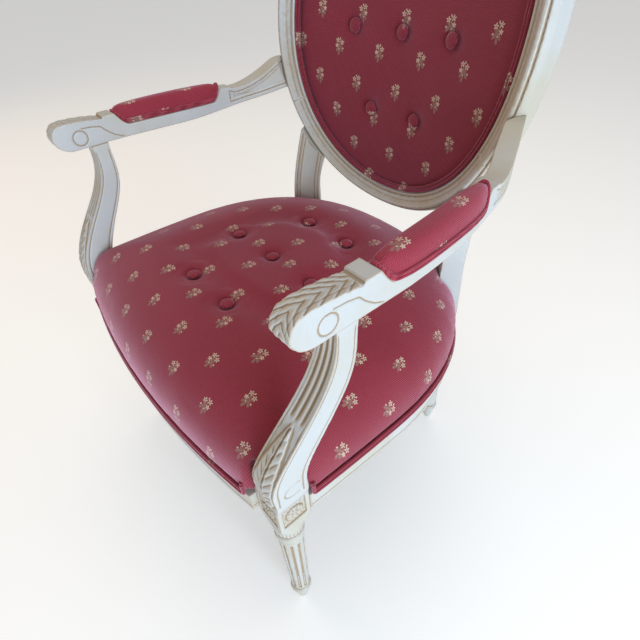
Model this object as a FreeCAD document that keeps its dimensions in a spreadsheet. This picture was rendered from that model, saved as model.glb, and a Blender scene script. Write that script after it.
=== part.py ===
import FreeCAD, Part
import math
import os

import Sketcher
from FreeCAD import Placement, Rotation, Vector

# Fauteuil: an armchair with a dished oval back, on turned and fluted legs. Millimetres, +Z up.
# It faces -Y, and the side on its sitter's left is +X.

SIZES = {
    "oval seat frame": {
        "seat_half_width": 295,
        "seat_widest_y": -70,
        "seat_rear_reach": 308,
        "seat_fullness": 2.3,
        "seat_front_y": -296,
        "rail_bottom": 336,
        "rail_top": 371,
        "rail_thickness": 27,
    },
    "front legs": {
        "leg_across": 267,
        "leg_forward": 240,
        "block_width": 47,
        "block_bottom": 314,
        "block_top": 383,
        "shoulder_height": 20,
        "glide_thickness": 2,
        "glide_radius": 5,
        "toe_radius": 5,
        "toe_height": 8,
        "cone_radius": 14,
        "foot_ring_radius": 17.5,
        "foot_ring_height": 56,
        "bead_half_height": 7.5,
        "bead_depth": 3.5,
        "taper_low_radius": 15.5,
        "taper_top_radius": 19,
        "collar_radius": 21.5,
        "collar_height": 275,
        "neck_radius": 19.5,
        "flute_radius": 2.8,
        "flute_depth": 2.2,
        "flute_margin": 12,
        "flute_count": 10,
        "panel_border": 6,
        "panel_depth": 2,
        "boss_radius": 12,
    },
    "rear legs": {
        "rear_leg_across": 184,
        "rear_leg_back": 175,
        "rear_leg_turn": 46,
        "rear_block_width": 60,
        "rear_block_depth": 38,
        "rear_foot_across": 170,
        "rear_foot_back": 218,
        "waist_height": 480,
        "waist_width": 51,
        "waist_depth": 34,
        "waist_across": 181,
        "waist_back": 179,
        "head_height": 600,
        "head_width": 56,
        "head_depth": 34,
        "head_across": 163,
        "head_back": 204,
        "head_turn": 24,
    },
    "oval back": {
        "oval_half_width": 212,
        "oval_half_height": 241,
        "oval_fullness": 2.11,
        "oval_centre_height": 762,
        "oval_centre_back": 250,
        "oval_tilt": 8.5,
        "oval_dish": 49,
        "ring_width": 33,
        "base_narrowing": 0.12,
        "ring_ridge": 9,
        "ring_depth": 28,
        "back_crown": 16,
        "back_rim": 3,
        "back_pad_depth": 15,
        "outside_back_depth": 22,
    },
    "arms": {
        "arm_top": 671,
        "arm_bottom": 632,
        "arm_nose_y": -227,
        "hand_width": 27,
        "hand_across": 293,
        "scoop_height": 650.5,
        "scoop_front_y": -126,
        "scoop_rear_y": 63,
        "arm_swell": 6,
        "arm_end_rise": 33,
        "arm_end_drop": 27,
        "pad_width": 33,
        "pad_rise": 27,
        "console_head_y": -177,
        "console_head_depth": 27.5,
        "console_head_across": 277,
        "console_bow": 5,
    },
    "upholstery": {
        "seat_crown": 500,
        "seat_slope": 0.03,
        "seat_shoulder": 3.6,
        "cover_thickness": 3,
        "webbing_width": 55,
        "webbing_thickness": 1.2,
        "webbing_pitch": 88,
        "welt_width": 9,
        "welt_height": 11,
        "pad_welt_width": 4,
        "pad_welt_height": 6,
        "soft_gap": 0.3,
        "button_radius": 10,
        "button_depth": 5,
        "tuft_radius": 24,
        "seat_tuft_depth": 12,
        "back_tuft_depth": 5,
        "seat_button_pitch": 95.5,
        "seat_button_row": 115,
        "seat_button_y": -41.5,
        "back_button_pitch": 95,
        "back_button_row": 113,
        "back_button_drop": 7,
    },
    "joinery": {
        "dowel_radius": 4.5,
        "dowel_length": 42,
        "dowel_inset": 12,
        "corner_block_reach": 62,
        "corner_block_height": 28,
    },
}

document = FreeCAD.newDocument("Fauteuil")
sheet = document.addObject("Spreadsheet::Sheet", "Sizes")


def fill_sheet():
    row = 1
    for group, values in SIZES.items():
        sheet.set(f"A{row}", group)
        row += 1
        for name, value in values.items():
            sheet.set(f"A{row}", name.replace("_", " "))
            sheet.set(f"B{row}", str(value))
            sheet.setAlias(f"B{row}", name)
            row += 1
    document.recompute()


class Size:
    """A length that carries both its number and the expression that works it out from the sheet."""

    def __init__(self, value, text):
        self.value = value
        self.text = text

    def joined(self, other, sign, value, swap=False):
        first, second = (text_of(other), self.text) if swap else (self.text, text_of(other))
        return Size(value, f"({first} {sign} {second})")

    def __add__(self, other):
        return self.joined(other, "+", self.value + number(other))

    def __sub__(self, other):
        return self.joined(other, "-", self.value - number(other))

    def __mul__(self, other):
        return self.joined(other, "*", self.value * number(other))

    def __truediv__(self, other):
        return self.joined(other, "/", self.value / number(other))

    def __neg__(self):
        return Size(-self.value, f"(0 - {self.text})")


def number(value):
    return value.value if isinstance(value, Size) else float(value)


def text_of(value):
    return value.text if isinstance(value, Size) else str(value)


class Bound:
    """Sizes by name, each with its expression, for objects that stay tied to the sheet."""

    def __getattr__(self, name):
        return Size(float(getattr(sheet, name)), f"Sizes.{name}")


class Plain:
    """Sizes by name as numbers, for shapes made by the functions below."""

    def __getattr__(self, name):
        return float(getattr(sheet, name))


tied = Bound()
size = Plain()
subparts = []
SIDES = (("left", 1), ("right", -1))


def tie(thing, setting, value):
    thing.setExpression(setting, text_of(value))


def feature(label, shape):
    thing = document.addObject("Part::Feature", label)
    thing.Shape = shape
    thing.Placement = Placement(Vector(0, -chair_middle().value, 0), Rotation())
    subparts.append(thing)
    return thing


def mirror_of(label, source):
    thing = document.addObject("Part::Mirroring", label)
    thing.Source = source
    thing.Normal = Vector(1, 0, 0)
    subparts.append(thing)
    return thing


def mirrored(shape):
    return shape.mirror(Vector(), Vector(1, 0, 0))


def group_of(shapes):
    return Part.makeCompound([solid for shape in shapes for solid in shape.Solids])


def largest(shape):
    return max(shape.Solids, key=lambda solid: solid.Volume)


def polygon(points):
    return Part.makePolygon(list(points) + [points[0]])


def prism(points, low, high):
    """An upright prism over a plan outline."""
    wire = polygon([Vector(x, y, low) for x, y in points])
    return Part.Face(wire).extrude(Vector(0, 0, high - low))


def block(low, high):
    return Part.makeBox(high[0] - low[0], high[1] - low[1], high[2] - low[2], Vector(*low))


def smooth(points):
    curve = Part.BSplineCurve()
    curve.interpolate([Vector(*point) for point in points])
    return curve.toShape()


def line(start, end):
    return Part.LineSegment(Vector(*start), Vector(*end)).toShape()


def between(start, end, share):
    return start + (end - start) * share


def signed_power(value, power):
    return math.copysign(abs(value) ** power, value)


def ease(share):
    share = min(max(share, 0), 1)
    return share * share * (3 - 2 * share)


def sine(angle):
    return Size(math.sin(math.radians(number(angle))), f"sin({text_of(angle)})")


def cosine(angle):
    return Size(math.cos(math.radians(number(angle))), f"cos({text_of(angle)})")


def chair_middle():
    """How far behind the seat's reference the middle of the whole chair lies, from its front welt to its crest."""
    rear = tied.oval_centre_back + (tied.oval_half_height + tied.ring_width * 0.82) * sine(tied.oval_tilt) + (
        tied.ring_depth * cosine(tied.oval_tilt))
    return (tied.seat_front_y - tied.welt_width / 2 + rear) / 2


# Sketches

def base_plane(body, role):
    return next(item for item in body.Origin.OriginFeatures if item.Role == role)


def sketch_on(body, role, name, lift=None):
    sketch = body.newObject("Sketcher::SketchObject", name)
    sketch.AttachmentSupport = (base_plane(body, role), "")
    sketch.MapMode = "FlatFace"
    if lift is not None:
        tie(sketch, "AttachmentOffset.Base.z", lift)
    return sketch


def hold(sketch, kind, *entries, value):
    place = sketch.addConstraint(Sketcher.Constraint(kind, *entries, number(value)))
    sketch.setExpression(f"Constraints[{place}]", text_of(value))


def hold_point(sketch, edge, end, across, up):
    for kind, axis, value in (("DistanceX", -2, across), ("DistanceY", -1, up)):
        if number(value) == 0:
            sketch.addConstraint(Sketcher.Constraint("PointOnObject", edge, end, axis))
        else:
            hold(sketch, kind, -1, 1, edge, end, value=value)


def outline(sketch, corners):
    """A closed outline of corners (across, up), each held to its sizes."""
    first = sketch.GeometryCount
    points = [Vector(number(corner[0]), number(corner[1]), 0) for corner in corners]
    count = len(points)
    for index in range(count):
        sketch.addGeometry(Part.LineSegment(points[index], points[(index + 1) % count]), False)
    for index in range(count):
        sketch.addConstraint(Sketcher.Constraint("Coincident", first + index, 2, first + (index + 1) % count, 1))
    for index, corner in enumerate(corners):
        hold_point(sketch, first + index, 1, corner[0], corner[1])


def circle(sketch, across, up, radius):
    edge = sketch.GeometryCount
    sketch.addGeometry(Part.Circle(Vector(number(across), number(up), 0), Vector(0, 0, 1), number(radius)), False)
    hold_point(sketch, edge, 3, across, up)
    hold(sketch, "Radius", edge, value=radius)


def rectangle(sketch, left, low, right, high):
    outline(sketch, [(left, low), (right, low), (right, high), (left, high)])


# The turned leg: a toupie foot and ring, a neck, the tapered shaft, a collar and the flare under the block.

def turned_profile(values, foot):
    ring_low = values.foot_ring_height - values.bead_half_height
    ring_high = values.foot_ring_height + values.bead_half_height
    collar_low = values.collar_height - values.bead_half_height
    collar_high = values.collar_height + values.bead_half_height
    ring_root = values.foot_ring_radius - values.bead_depth
    collar_root = values.collar_radius - values.bead_depth
    return [
        (values.toe_radius, foot),
        (values.toe_radius + values.bead_depth, foot + values.toe_height),
        (values.cone_radius, ring_low - 2),
        (ring_root - 1, ring_low - 1),
        (ring_root, ring_low),
        (values.foot_ring_radius - 0.6, ring_low + values.bead_half_height * 0.4),
        (values.foot_ring_radius, values.foot_ring_height),
        (values.foot_ring_radius - 0.6, ring_high - values.bead_half_height * 0.4),
        (ring_root, ring_high),
        (values.taper_low_radius - 1.5, ring_high + 3),
        (values.taper_low_radius, ring_high + 8),
        (values.taper_top_radius, collar_low - 8),
        (collar_root - 1, collar_low - 3),
        (collar_root, collar_low),
        (values.collar_radius - 0.6, collar_low + values.bead_half_height * 0.4),
        (values.collar_radius, values.collar_height),
        (values.collar_radius - 0.6, collar_high - values.bead_half_height * 0.4),
        (collar_root, collar_high),
        (values.neck_radius, collar_high + 5),
        (values.block_width / 2, values.block_bottom),
    ]


def front_leg():
    body = document.addObject("PartDesign::Body", "FrontLegBody")
    profile = sketch_on(body, "XZ_Plane", "TurnedProfile")
    foot = tied.glide_thickness
    top = tied.block_bottom + 1
    outline(profile, [(0, foot)] + turned_profile(tied, foot) + [(tied.block_width / 2, top), (0, top)])
    turning = body.newObject("PartDesign::Revolution", "Turning")
    turning.Profile = profile
    turning.ReferenceAxis = (profile, ["V_Axis"])
    turning.Angle = 360

    square = sketch_on(body, "XY_Plane", "BlockSquare", tied.block_bottom)
    half = tied.block_width / 2
    rectangle(square, -half, -half, half, half)
    top_block = body.newObject("PartDesign::Pad", "Block")
    top_block.Profile = square
    tie(top_block, "Length", tied.block_top - tied.block_bottom)

    corner = sketch_on(body, "XZ_Plane", "ShoulderProfile")
    reach = tied.block_width * 0.75
    outline(corner, [(half, tied.block_bottom - 1), (reach, tied.block_bottom - 1),
                     (reach, tied.block_bottom + tied.shoulder_height), (half, tied.block_bottom)])
    shoulder = body.newObject("PartDesign::Groove", "Shoulder")
    shoulder.Profile = corner
    shoulder.ReferenceAxis = (corner, ["V_Axis"])
    shoulder.Angle = 360
    document.recompute()

    # Flutes follow the taper, so each is a loft between two circles on the shaft.
    low = tied.foot_ring_height + tied.bead_half_height + tied.flute_margin
    high = tied.collar_height - tied.bead_half_height - tied.flute_margin
    standing = tied.flute_radius - tied.flute_depth
    circles = []
    for name, level, radius in (("FluteLow", low, tied.taper_low_radius), ("FluteHigh", high, tied.taper_top_radius)):
        end = sketch_on(body, "XY_Plane", name, level)
        circle(end, radius + standing, 0, tied.flute_radius)
        circles.append(end)
    flute = body.newObject("PartDesign::SubtractiveLoft", "Flute")
    flute.Profile = circles[0]
    flute.Sections = [circles[1]]
    flutes = body.newObject("PartDesign::PolarPattern", "Flutes")
    flutes.Originals = [flute]
    flutes.Axis = (circles[0], ["N_Axis"])
    flutes.Angle = 360
    tie(flutes, "Occurrences", tied.flute_count)
    body.Tip = flutes
    document.recompute()

    # Sunk panels with a round boss, on the front and on the outer side of the block.
    middle = (tied.block_bottom + tied.shoulder_height + tied.block_top) / 2
    wide = half - tied.panel_border
    tall = (tied.block_top - tied.block_bottom - tied.shoulder_height) / 2 - tied.panel_border / 2
    for name, role in (("FrontPanel", "XZ_Plane"), ("SidePanel", "YZ_Plane")):
        panel = sketch_on(body, role, name + "Outline", half)
        rectangle(panel, -wide, middle - tall, wide, middle + tall)
        circle(panel, 0, middle, tied.boss_radius)
        pocket = body.newObject("PartDesign::Pocket", name)
        pocket.Profile = panel
        tie(pocket, "Length", tied.panel_depth)
    tie(body, "Placement.Base.x", tied.leg_across)
    tie(body, "Placement.Base.y", -tied.leg_forward - chair_middle())
    document.recompute()
    return body


# The oval seat frame, seen in plan. A share of the way is cut between the arcs that follow its oval rear.

def side_bulge(y):
    """How far the side rail's face stands in from its widest, ahead of that place."""
    return 4.5 * ((y - size.seat_widest_y) / 146) ** 2


def oval_point(angle, grow=0):
    """A point of the seat's full rounded rear, a superellipse about its widest place."""
    power = 2 / size.seat_fullness
    x = (size.seat_half_width + grow) * signed_power(math.cos(angle), power)
    return x, size.seat_widest_y + (size.seat_rear_reach + grow) * signed_power(math.sin(angle), power)


def seat_corner():
    return size.leg_across + size.block_width / 2 - 0.5, -size.leg_forward - size.block_width / 2 + 1


def seat_middle():
    return (size.seat_front_y + size.seat_widest_y + size.seat_rear_reach) / 2


def seat_outline(z, grow=0, scale=1.0):
    """The seat's plan outline at one height, in arcs that meet at the front corners and round the rear."""
    corner_x, corner_y = seat_corner()
    middle = seat_middle()

    def place(x, y):
        return Vector(x * scale, middle + (y - middle) * scale, z)

    side_y = between(corner_y, size.seat_widest_y, 0.5)
    side_x = size.seat_half_width + grow
    arcs = [((corner_x + grow, corner_y - grow), (side_x - side_bulge(side_y), side_y), (side_x, size.seat_widest_y))]
    steps = 6
    for step in range(steps):
        angles = [math.pi * (step + part) / steps for part in (0, 0.5, 1)]
        arcs.append(tuple(oval_point(angle, grow) for angle in angles))
    arcs.append(tuple((-x, y) for x, y in reversed(arcs[0])))
    arcs.append(((-corner_x - grow, corner_y - grow), (0, size.seat_front_y - grow), (corner_x + grow, corner_y - grow)))
    return Part.Wire([Part.Arc(*[place(*point) for point in arc]).toShape() for arc in arcs])


def seat_slab(low, high, grow=0, scale=1.0):
    return Part.Face(seat_outline(low, grow, scale)).extrude(Vector(0, 0, high - low))


# The rear leg: one piece from its turned foot through the block and the waisted stile to the oval.

def stile_section(z, grow=0):
    """The stile's four corners at one height: its sizes run from the block through the waist to the head."""
    low = (size.rear_leg_across, size.rear_leg_back, size.rear_leg_turn, size.rear_block_width, size.rear_block_depth)
    waist = (size.waist_across, size.waist_back, size.rear_leg_turn, size.waist_width, size.waist_depth)
    head = (size.head_across, size.head_back, size.head_turn, size.head_width, size.head_depth)
    if z < size.waist_height:
        share = ease((z - size.block_top) / (size.waist_height - size.block_top))
        across, back, turn, width, depth = (between(a, b, share) for a, b in zip(low, waist))
    else:
        share = ((z - size.waist_height) / (size.head_height - size.waist_height)) ** 1.3
        across, back, turn, width, depth = (between(a, b, share) for a, b in zip(waist, head))
    turn = math.radians(turn)
    along = Vector(math.cos(turn), -math.sin(turn), 0) * (width / 2 + grow)
    outward = Vector(math.sin(turn), math.cos(turn), 0) * (depth / 2 + grow)
    centre = Vector(across, back, z)
    return polygon([centre - along - outward, centre + along - outward, centre + along + outward,
                    centre - along + outward])


def stile(grow=0, low=None):
    low = size.block_bottom if low is None else low
    upper = [between(size.block_top, size.waist_height, share) for share in (0, 0.35, 0.7, 1)]
    upper += [between(size.waist_height, size.head_height, share) for share in (0.3, 0.6, 1)]
    lower = Part.Face(stile_section(low, grow)).extrude(Vector(0, 0, size.block_top - low))
    return lower.fuse(Part.makeLoft([stile_section(z, grow) for z in upper], True))


def stile_passage(low, high, grow=0):
    """The upright space that the rear leg's block takes out of the oval rail, open to the outside."""
    turn = math.radians(size.rear_leg_turn)
    along = Vector(math.cos(turn), -math.sin(turn), 0) * (size.rear_block_width / 2 + grow)
    outward = Vector(math.sin(turn), math.cos(turn), 0)
    inner = Vector(size.rear_leg_across, size.rear_leg_back, 0) - outward * (size.rear_block_depth / 2 + grow)
    outer = inner + outward * (size.rear_block_depth + size.rail_thickness)
    corners = [inner - along, inner + along, outer + along, outer - along]
    return prism([(corner.x, corner.y) for corner in corners], low, high)


def rear_leg(oval_blank):
    points = [(0, size.glide_thickness)] + turned_profile(size, size.glide_thickness)
    top = size.block_bottom + 6
    points += [(size.block_width / 2, top), (0, top)]
    profile = polygon([Vector(across, 0, up) for across, up in points])
    turning = Part.Face(profile).revolve(Vector(), Vector(0, 0, 1), 360)
    lean = Vector(size.rear_leg_across - size.rear_foot_across, size.rear_leg_back - size.rear_foot_back,
                  size.block_bottom)
    turning.Placement = Placement(Vector(size.rear_foot_across, size.rear_foot_back, 0),
                                  Rotation(Vector(0, 0, 1), lean))
    floor = block((0, 0, -50), (400, 400, size.glide_thickness))
    under_block = block((0, 0, size.block_bottom + 0.5), (400, 400, size.block_top))
    post = largest(stile().cut(oval_blank))
    return post.fuse(turning.cut(floor).cut(under_block.cut(post))).removeSplitter()


# The oval back: a superellipse on a plane that leans back, dished forward to its sides.

UP = None
FORWARD = None


def set_back_axes():
    global UP, FORWARD
    lean = math.radians(size.oval_tilt)
    UP = Vector(0, math.sin(lean), math.cos(lean))
    FORWARD = Vector(0, -math.cos(lean), math.sin(lean))


def back_point(x, up, out):
    """A point of the dished back: across, up its slope, and out of its face."""
    width = size.oval_half_width
    face = FORWARD - Vector(2 * size.oval_dish * x / width ** 2, 0, 0)
    centre = Vector(0, size.oval_centre_back, size.oval_centre_height)
    return centre + Vector(x, 0, 0) + UP * up + FORWARD * (size.oval_dish * (x / width) ** 2) + face.normalize() * out


def ring_place(angle, wide, out):
    """A point by its angle round the oval, its distance outward from the opening's edge and out of the face."""
    width, height, full = size.oval_half_width, size.oval_half_height, size.oval_fullness
    x = width * signed_power(math.cos(angle), 2 / full)
    up = height * signed_power(math.sin(angle), 2 / full)
    slope = 2 * size.oval_dish * x / width ** 2
    face = (FORWARD - Vector(slope, 0, 0)).normalize()
    across = signed_power(x / width, full - 1) / width
    along = signed_power(up / height, full - 1) / height
    tangent = (Vector(1, 0, 0) + FORWARD * slope) * -along + UP * across
    outward = tangent.cross(face).normalize()
    if outward.dot(Vector(x, 0, 0) + UP * up) < 0:
        outward = outward * -1
    centre = Vector(0, size.oval_centre_back, size.oval_centre_height)
    edge = centre + Vector(x, 0, 0) + UP * up + FORWARD * (size.oval_dish * (x / width) ** 2)
    if wide > 0:
        wide *= 1 - size.base_narrowing * max(0, -math.sin(angle)) ** 3
    return edge + outward * wide + face * out


def ring_profile():
    """The moulding: a bead by the opening, a hollow up to the ridge, a quirk and a rounded outer edge."""
    wide, ridge, depth = size.ring_width, size.ring_ridge, size.ring_depth
    return [(0, 0), (3, ridge * 0.4), (6.5, ridge * 0.2), (wide * 0.45, ridge * 0.42), (wide * 0.7, ridge * 0.9),
            (wide * 0.78, ridge), (wide * 0.86, ridge * 0.8), (wide * 0.88, ridge * 0.3), (wide * 0.95, ridge * 0.42),
            (wide, 0), (wide * 1.02, -depth * 0.25), (wide * 0.88, -depth * 0.93), (wide * 0.82, -depth),
            (wide * 0.1, -depth), (0, -depth * 0.9)]


def ring_section(degrees, profile):
    angle = math.radians(degrees) + 1e-4
    return polygon([ring_place(angle, wide, out) for wide, out in profile])


def ring_member(first, last, profile, steps):
    angles = [between(first, last, step / steps) for step in range(steps + 1)]
    return Part.makeLoft([ring_section(angle, profile) for angle in angles], True)


def oval_blank():
    """All that lies within the oval's outer edge, ahead of it and behind, for seating what meets that edge."""
    gap, wide, depth = size.soft_gap * 0.5, size.ring_width, size.ring_depth
    outer = [(wide + gap, 60), (wide + gap, 0), (wide * 1.02 + gap, -depth * 0.25), (wide * 0.88 + gap, -depth * 0.93),
             (wide * 0.82 + gap, -depth - 60)]
    inner = [(-90, -depth - 60), (-90, 60)]
    return ring_member(-80, 30, outer + inner, 11)


# Arms and their consoles

def console_section(z, grow=0):
    share = (z - size.block_top) / (size.arm_bottom - size.block_top)
    half = size.block_width / 2
    front = between(-size.leg_forward - half, size.console_head_y, ease((share - 0.19) / 0.69))
    rear = between(-size.leg_forward + half, size.console_head_y + size.console_head_depth,
                   ease((share - 0.17) / 0.65))
    outer = between(size.leg_across + half, size.hand_across + size.hand_width / 2 - 2.5, share)
    inner = between(size.leg_across - half, size.console_head_across, share ** 0.8)
    bow = size.console_bow * math.sin(math.pi * share) ** 2
    front, rear, inner, outer = front - bow, rear - bow, inner + bow, outer + bow
    front, rear, inner, outer = front - grow, rear + grow, inner - grow, outer + grow
    return polygon([Vector(inner, front, z), Vector(outer, front, z), Vector(outer, rear, z), Vector(inner, rear, z)])


def console(grow=0):
    shares = (0, 0.12, 0.24, 0.36, 0.48, 0.6, 0.72, 0.84, 1)
    levels = [between(size.block_top, size.arm_bottom, share) for share in shares]
    return Part.makeLoft([console_section(z, grow) for z in levels], True)


def arm_line(y):
    """The middle of the arm in plan, straight at the hand and easing inward to the rear."""
    return size.hand_across - 0.0019 * max(y + 135, 0) ** 1.73


def arm_profile(rise=0, slide=0):
    """The arm's side outline in the YZ plane: rounded hand, front block, scoop for the pad, rear block, rising end."""
    top, low, nose = size.arm_top + rise, size.arm_bottom, size.arm_nose_y
    scoop, front, rear = size.scoop_height + rise, size.scoop_front_y + slide, size.scoop_rear_y + slide
    end, drop = 216, size.arm_bottom + size.arm_end_drop
    lift = size.arm_end_rise

    def at(y, z):
        return (0, y, z)

    edges = [
        smooth([at(nose + 33, low), at(nose + 17, low + 1.5), at(nose + 5, low + 9), at(nose, low + 22),
                at(nose + 4, low + 34), at(nose + 17, top + 2)]),
        smooth([at(nose + 17, top + 2), at(nose + 37, top + 2), at(nose + 61, top - 0.5), at(front - 19.5, top - 4)]),
        line(at(front - 19.5, top - 4), at(front - 18.5, top)),
        line(at(front - 18.5, top), at(front, top)),
        smooth([at(front, top), at(front + 4, between(scoop, top, 0.72)), at(front + 9, between(scoop, top, 0.38)),
                at(front + 18, scoop)]),
        line(at(front + 18, scoop), at(rear - 17, scoop)),
        smooth([at(rear - 17, scoop), at(rear - 8, between(scoop, top, 0.35)), at(rear - 3.5, between(scoop, top, 0.7)),
                at(rear, top)]),
        line(at(rear, top), at(rear + 20, top - 1.5)),
        line(at(rear + 20, top - 1.5), at(rear + 21.5, top - 4)),
        smooth([at(rear + 21.5, top - 4), at(rear + 50, top), at(rear + 73, between(top, top + lift, 0.3)),
                at(rear + 92, between(top, top + lift, 0.65)), at(rear + 109, between(top, top + lift, 0.95)),
                at(rear + 124, top + lift), at(end, top + lift)]),
        line(at(end, top + lift), at(end, drop)),
        smooth([at(end, drop), at(178, drop - 4), at(128, between(low, drop, 0.5)), at(73, between(low, drop, 0.19)),
                at(17, between(low, drop, 0.03)), at(-60, low)]),
        line(at(-60, low), at(nose + 33, low)),
    ]
    return Part.Face(Part.Wire(edges))


def arm_plan():
    """The arm's outline in plan, swelling under the pad and turning in with an S to the oval."""
    half = size.hand_width / 2
    nose, swell = size.arm_nose_y - 2, size.arm_swell
    outer = [(size.hand_across + half, nose)]
    inner = [(size.hand_across - half, nose)]
    for y, more in ((-170, 0), (-135, 0.05), (-90, 0.5), (-40, 0.75), (10, 0.65), (45, 0.1)):
        outer.append((arm_line(y) + half + more * swell * 0.5, y))
        inner.append((arm_line(y) - half - more * swell, y))
    tail = arm_line(80)
    outer += [(tail + 12, 81), (tail + 7.7, 102), (tail - 9.6, 145.5), (tail - 30, 187), (tail - 44, 218)]
    inner += [(tail - 13.4, 86), (tail - 22.1, 113), (tail - 32.8, 136), (tail - 46.3, 172), (tail - 66, 218)]
    outer_edge = smooth([(x, y, 0) for x, y in outer])
    inner_edge = smooth([(x, y, 0) for x, y in reversed(inner)])
    rear = line((*outer[-1], 0), (*inner[-1], 0))
    front = line((*inner[0], 0), (*outer[0], 0))
    return Part.Face(Part.Wire([outer_edge, rear, inner_edge, front]))


def arm(blank):
    side = arm_profile().extrude(Vector(400, 0, 0))
    plan = arm_plan()
    plan.translate(Vector(0, 0, size.arm_bottom))
    shape = side.common(plan.extrude(Vector(0, 0, 400)))
    return largest(shape.cut(blank))


def pad_outline(z, grow=0):
    """The arm pad's outline in plan: long, blunt-ended and bent with the arm."""
    front, rear = size.scoop_front_y + 4, size.scoop_rear_y + 1
    half, middle = (rear - front) / 2 + grow, (front + rear) / 2
    points = []
    for step in range(24):
        angle = 2 * math.pi * (step + 0.5) / 24
        y = middle + half * signed_power(math.cos(angle), 0.62)
        x = arm_line(y) + 2 + (size.pad_width / 2 - 2 + grow) * signed_power(math.sin(angle), 0.62)
        points.append(Vector(x, y, z))
    return polygon(points)


def clear_of_arm(shape):
    gap = size.soft_gap
    for rise, slide in ((gap, 0), (gap, gap), (gap, -gap)):
        shape = shape.cut(arm_profile(rise, slide).extrude(Vector(400, 0, 0)))
    return largest(shape)


def arm_pad():
    base = size.scoop_height + size.soft_gap
    low, high = size.pad_welt_height, size.pad_rise
    rim = Part.Face(pad_outline(base)).extrude(Vector(0, 0, low))
    levels = ((0, 0), (0.12, 1.8), (0.4, 2), (0.65, -0.5), (0.84, -4.5), (0.95, -8.5), (1, -12.5))
    return clear_of_arm(rim.fuse(Part.makeLoft([pad_outline(base + between(low, high, share), grow)
                                                for share, grow in levels], True)))


def arm_pad_welt():
    base = size.scoop_height + size.soft_gap
    height = Vector(0, 0, size.pad_welt_height - size.soft_gap)
    outer = Part.Face(pad_outline(base, size.pad_welt_width)).extrude(height)
    inner = Part.Face(pad_outline(base, size.soft_gap)).extrude(height)
    ring = outer.cut(inner)
    gap = size.soft_gap
    for rise, slide in ((gap, 0), (gap, gap), (gap, -gap)):
        ring = ring.cut(arm_profile(rise, slide).extrude(Vector(400, 0, 0)))
    return group_of([solid for solid in ring.Solids if solid.Volume > 20])


# Upholstery of the oval back, in sections across it that each lie in one plane

def back_slab(inset, front, rear, crown=0, rear_crown=0):
    """A dished slab that fills the opening, less an inset, between two depths, crowned in its middle."""
    width, height, full = size.oval_half_width - inset, size.oval_half_height - inset, size.oval_fullness
    sections = []
    for step in range(-6, 7):
        x = width * math.sin(math.radians(step * 14.3))
        reach = height * (1 - abs(x / width) ** full) ** (1 / full)

        def depth(share, base, swell):
            distance = (abs(x / width) ** 2 + abs(share * reach / height) ** 2) ** 0.5
            return base + swell * (1 - min(distance, 1) ** 2.4)

        shares = (-1, -0.9, -0.7, -0.4, 0, 0.4, 0.7, 0.9, 1) if crown else (-1, 0, 1)
        face = [back_point(x, share * reach, depth(share, front, crown)) for share in shares]
        back = [back_point(x, share * reach, depth(share, rear, rear_crown)) for share in reversed(shares)]
        sections.append(polygon(face + back))
    return Part.makeLoft(sections, True)


def button_places(pitch, row, middle):
    """Two buttons, three and two, in rows that stand half a pitch apart."""
    for index, count in ((-1, 2), (0, 3), (1, 2)):
        for step in range(count):
            yield (step - (count - 1) / 2) * pitch, middle + index * row


def button(place, face, depth):
    """A covered button: a flat disc with its rim chamfered, clear above the tuft that it sits in."""
    radius = size.button_radius
    rise = size.tuft_radius - math.sqrt(size.tuft_radius ** 2 - radius ** 2) + size.soft_gap
    foot = place + face * (rise - depth)
    disc = Part.makeCylinder(radius, size.button_depth * 0.4, foot, face)
    top = foot + face * size.button_depth * 0.4
    under = Part.makeCone(radius * 0.25, radius, rise * 0.6, foot - face * rise * 0.6, face)
    return disc.fuse([Part.makeCone(radius, radius * 0.55, size.button_depth * 0.6, top, face), under])


def tuft(place, face, depth, grow=0):
    return Part.makeSphere(size.tuft_radius + grow, place + face * (size.tuft_radius - depth))


def back_button_places():
    for x, up in button_places(size.back_button_pitch, size.back_button_row, -size.back_button_drop):
        distance = math.hypot(x / (size.oval_half_width - 10), up / (size.oval_half_height - 10))
        out = -size.back_rim + (size.back_crown + size.back_rim) * (1 - distance ** 2.4)
        slope = 2 * size.oval_dish * x / size.oval_half_width ** 2
        yield back_point(x, up, out), (FORWARD - Vector(slope, 0, 0)).normalize()


# The seat

def dome_ring(edge, crown, turn, grow):
    """One level of the stuffed seat: the plan outline drawn in, and higher ahead than behind."""
    scale, share = math.cos(turn) ** (2 / size.seat_shoulder), math.sin(turn) ** (2 / 2.6)
    corner_x, corner_y = seat_corner()
    places = [oval_point(math.pi * step / 24, grow) for step in range(25)]
    for step in (1, 2, 3, 4):
        y = between(size.seat_widest_y, corner_y - grow, step / 4)
        places.append((-between(size.seat_half_width, corner_x, (step / 4) ** 2) - grow, y))
    for step in range(-4, 5):
        x = (corner_x + grow) * step / 5
        places.append((x, between(size.seat_front_y, corner_y, (step / 5) ** 2) - grow))
    for step in (4, 3, 2, 1):
        y = between(size.seat_widest_y, corner_y - grow, step / 4)
        places.append((between(size.seat_half_width, corner_x, (step / 4) ** 2) + grow, y))
    middle = seat_middle()
    points = []
    for x, y in places:
        reach = (y - middle) * scale
        top = crown - size.seat_slope * reach
        points.append(Vector(x * scale, middle + reach, between(edge, top, share)))
    return polygon(points)


def dome(low, edge, crown, inset, rim):
    """The stuffed seat: upright at its rim inside the welt, then rounding over to a broad crown."""
    turns = [math.radians(angle) for angle in (0, 8, 17, 28, 41, 56, 72, 83)]
    rings = [dome_ring(edge, crown, turn, inset) for turn in turns]
    return seat_slab(low, edge, rim).fuse(Part.makeLoft(rings, True))


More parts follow.
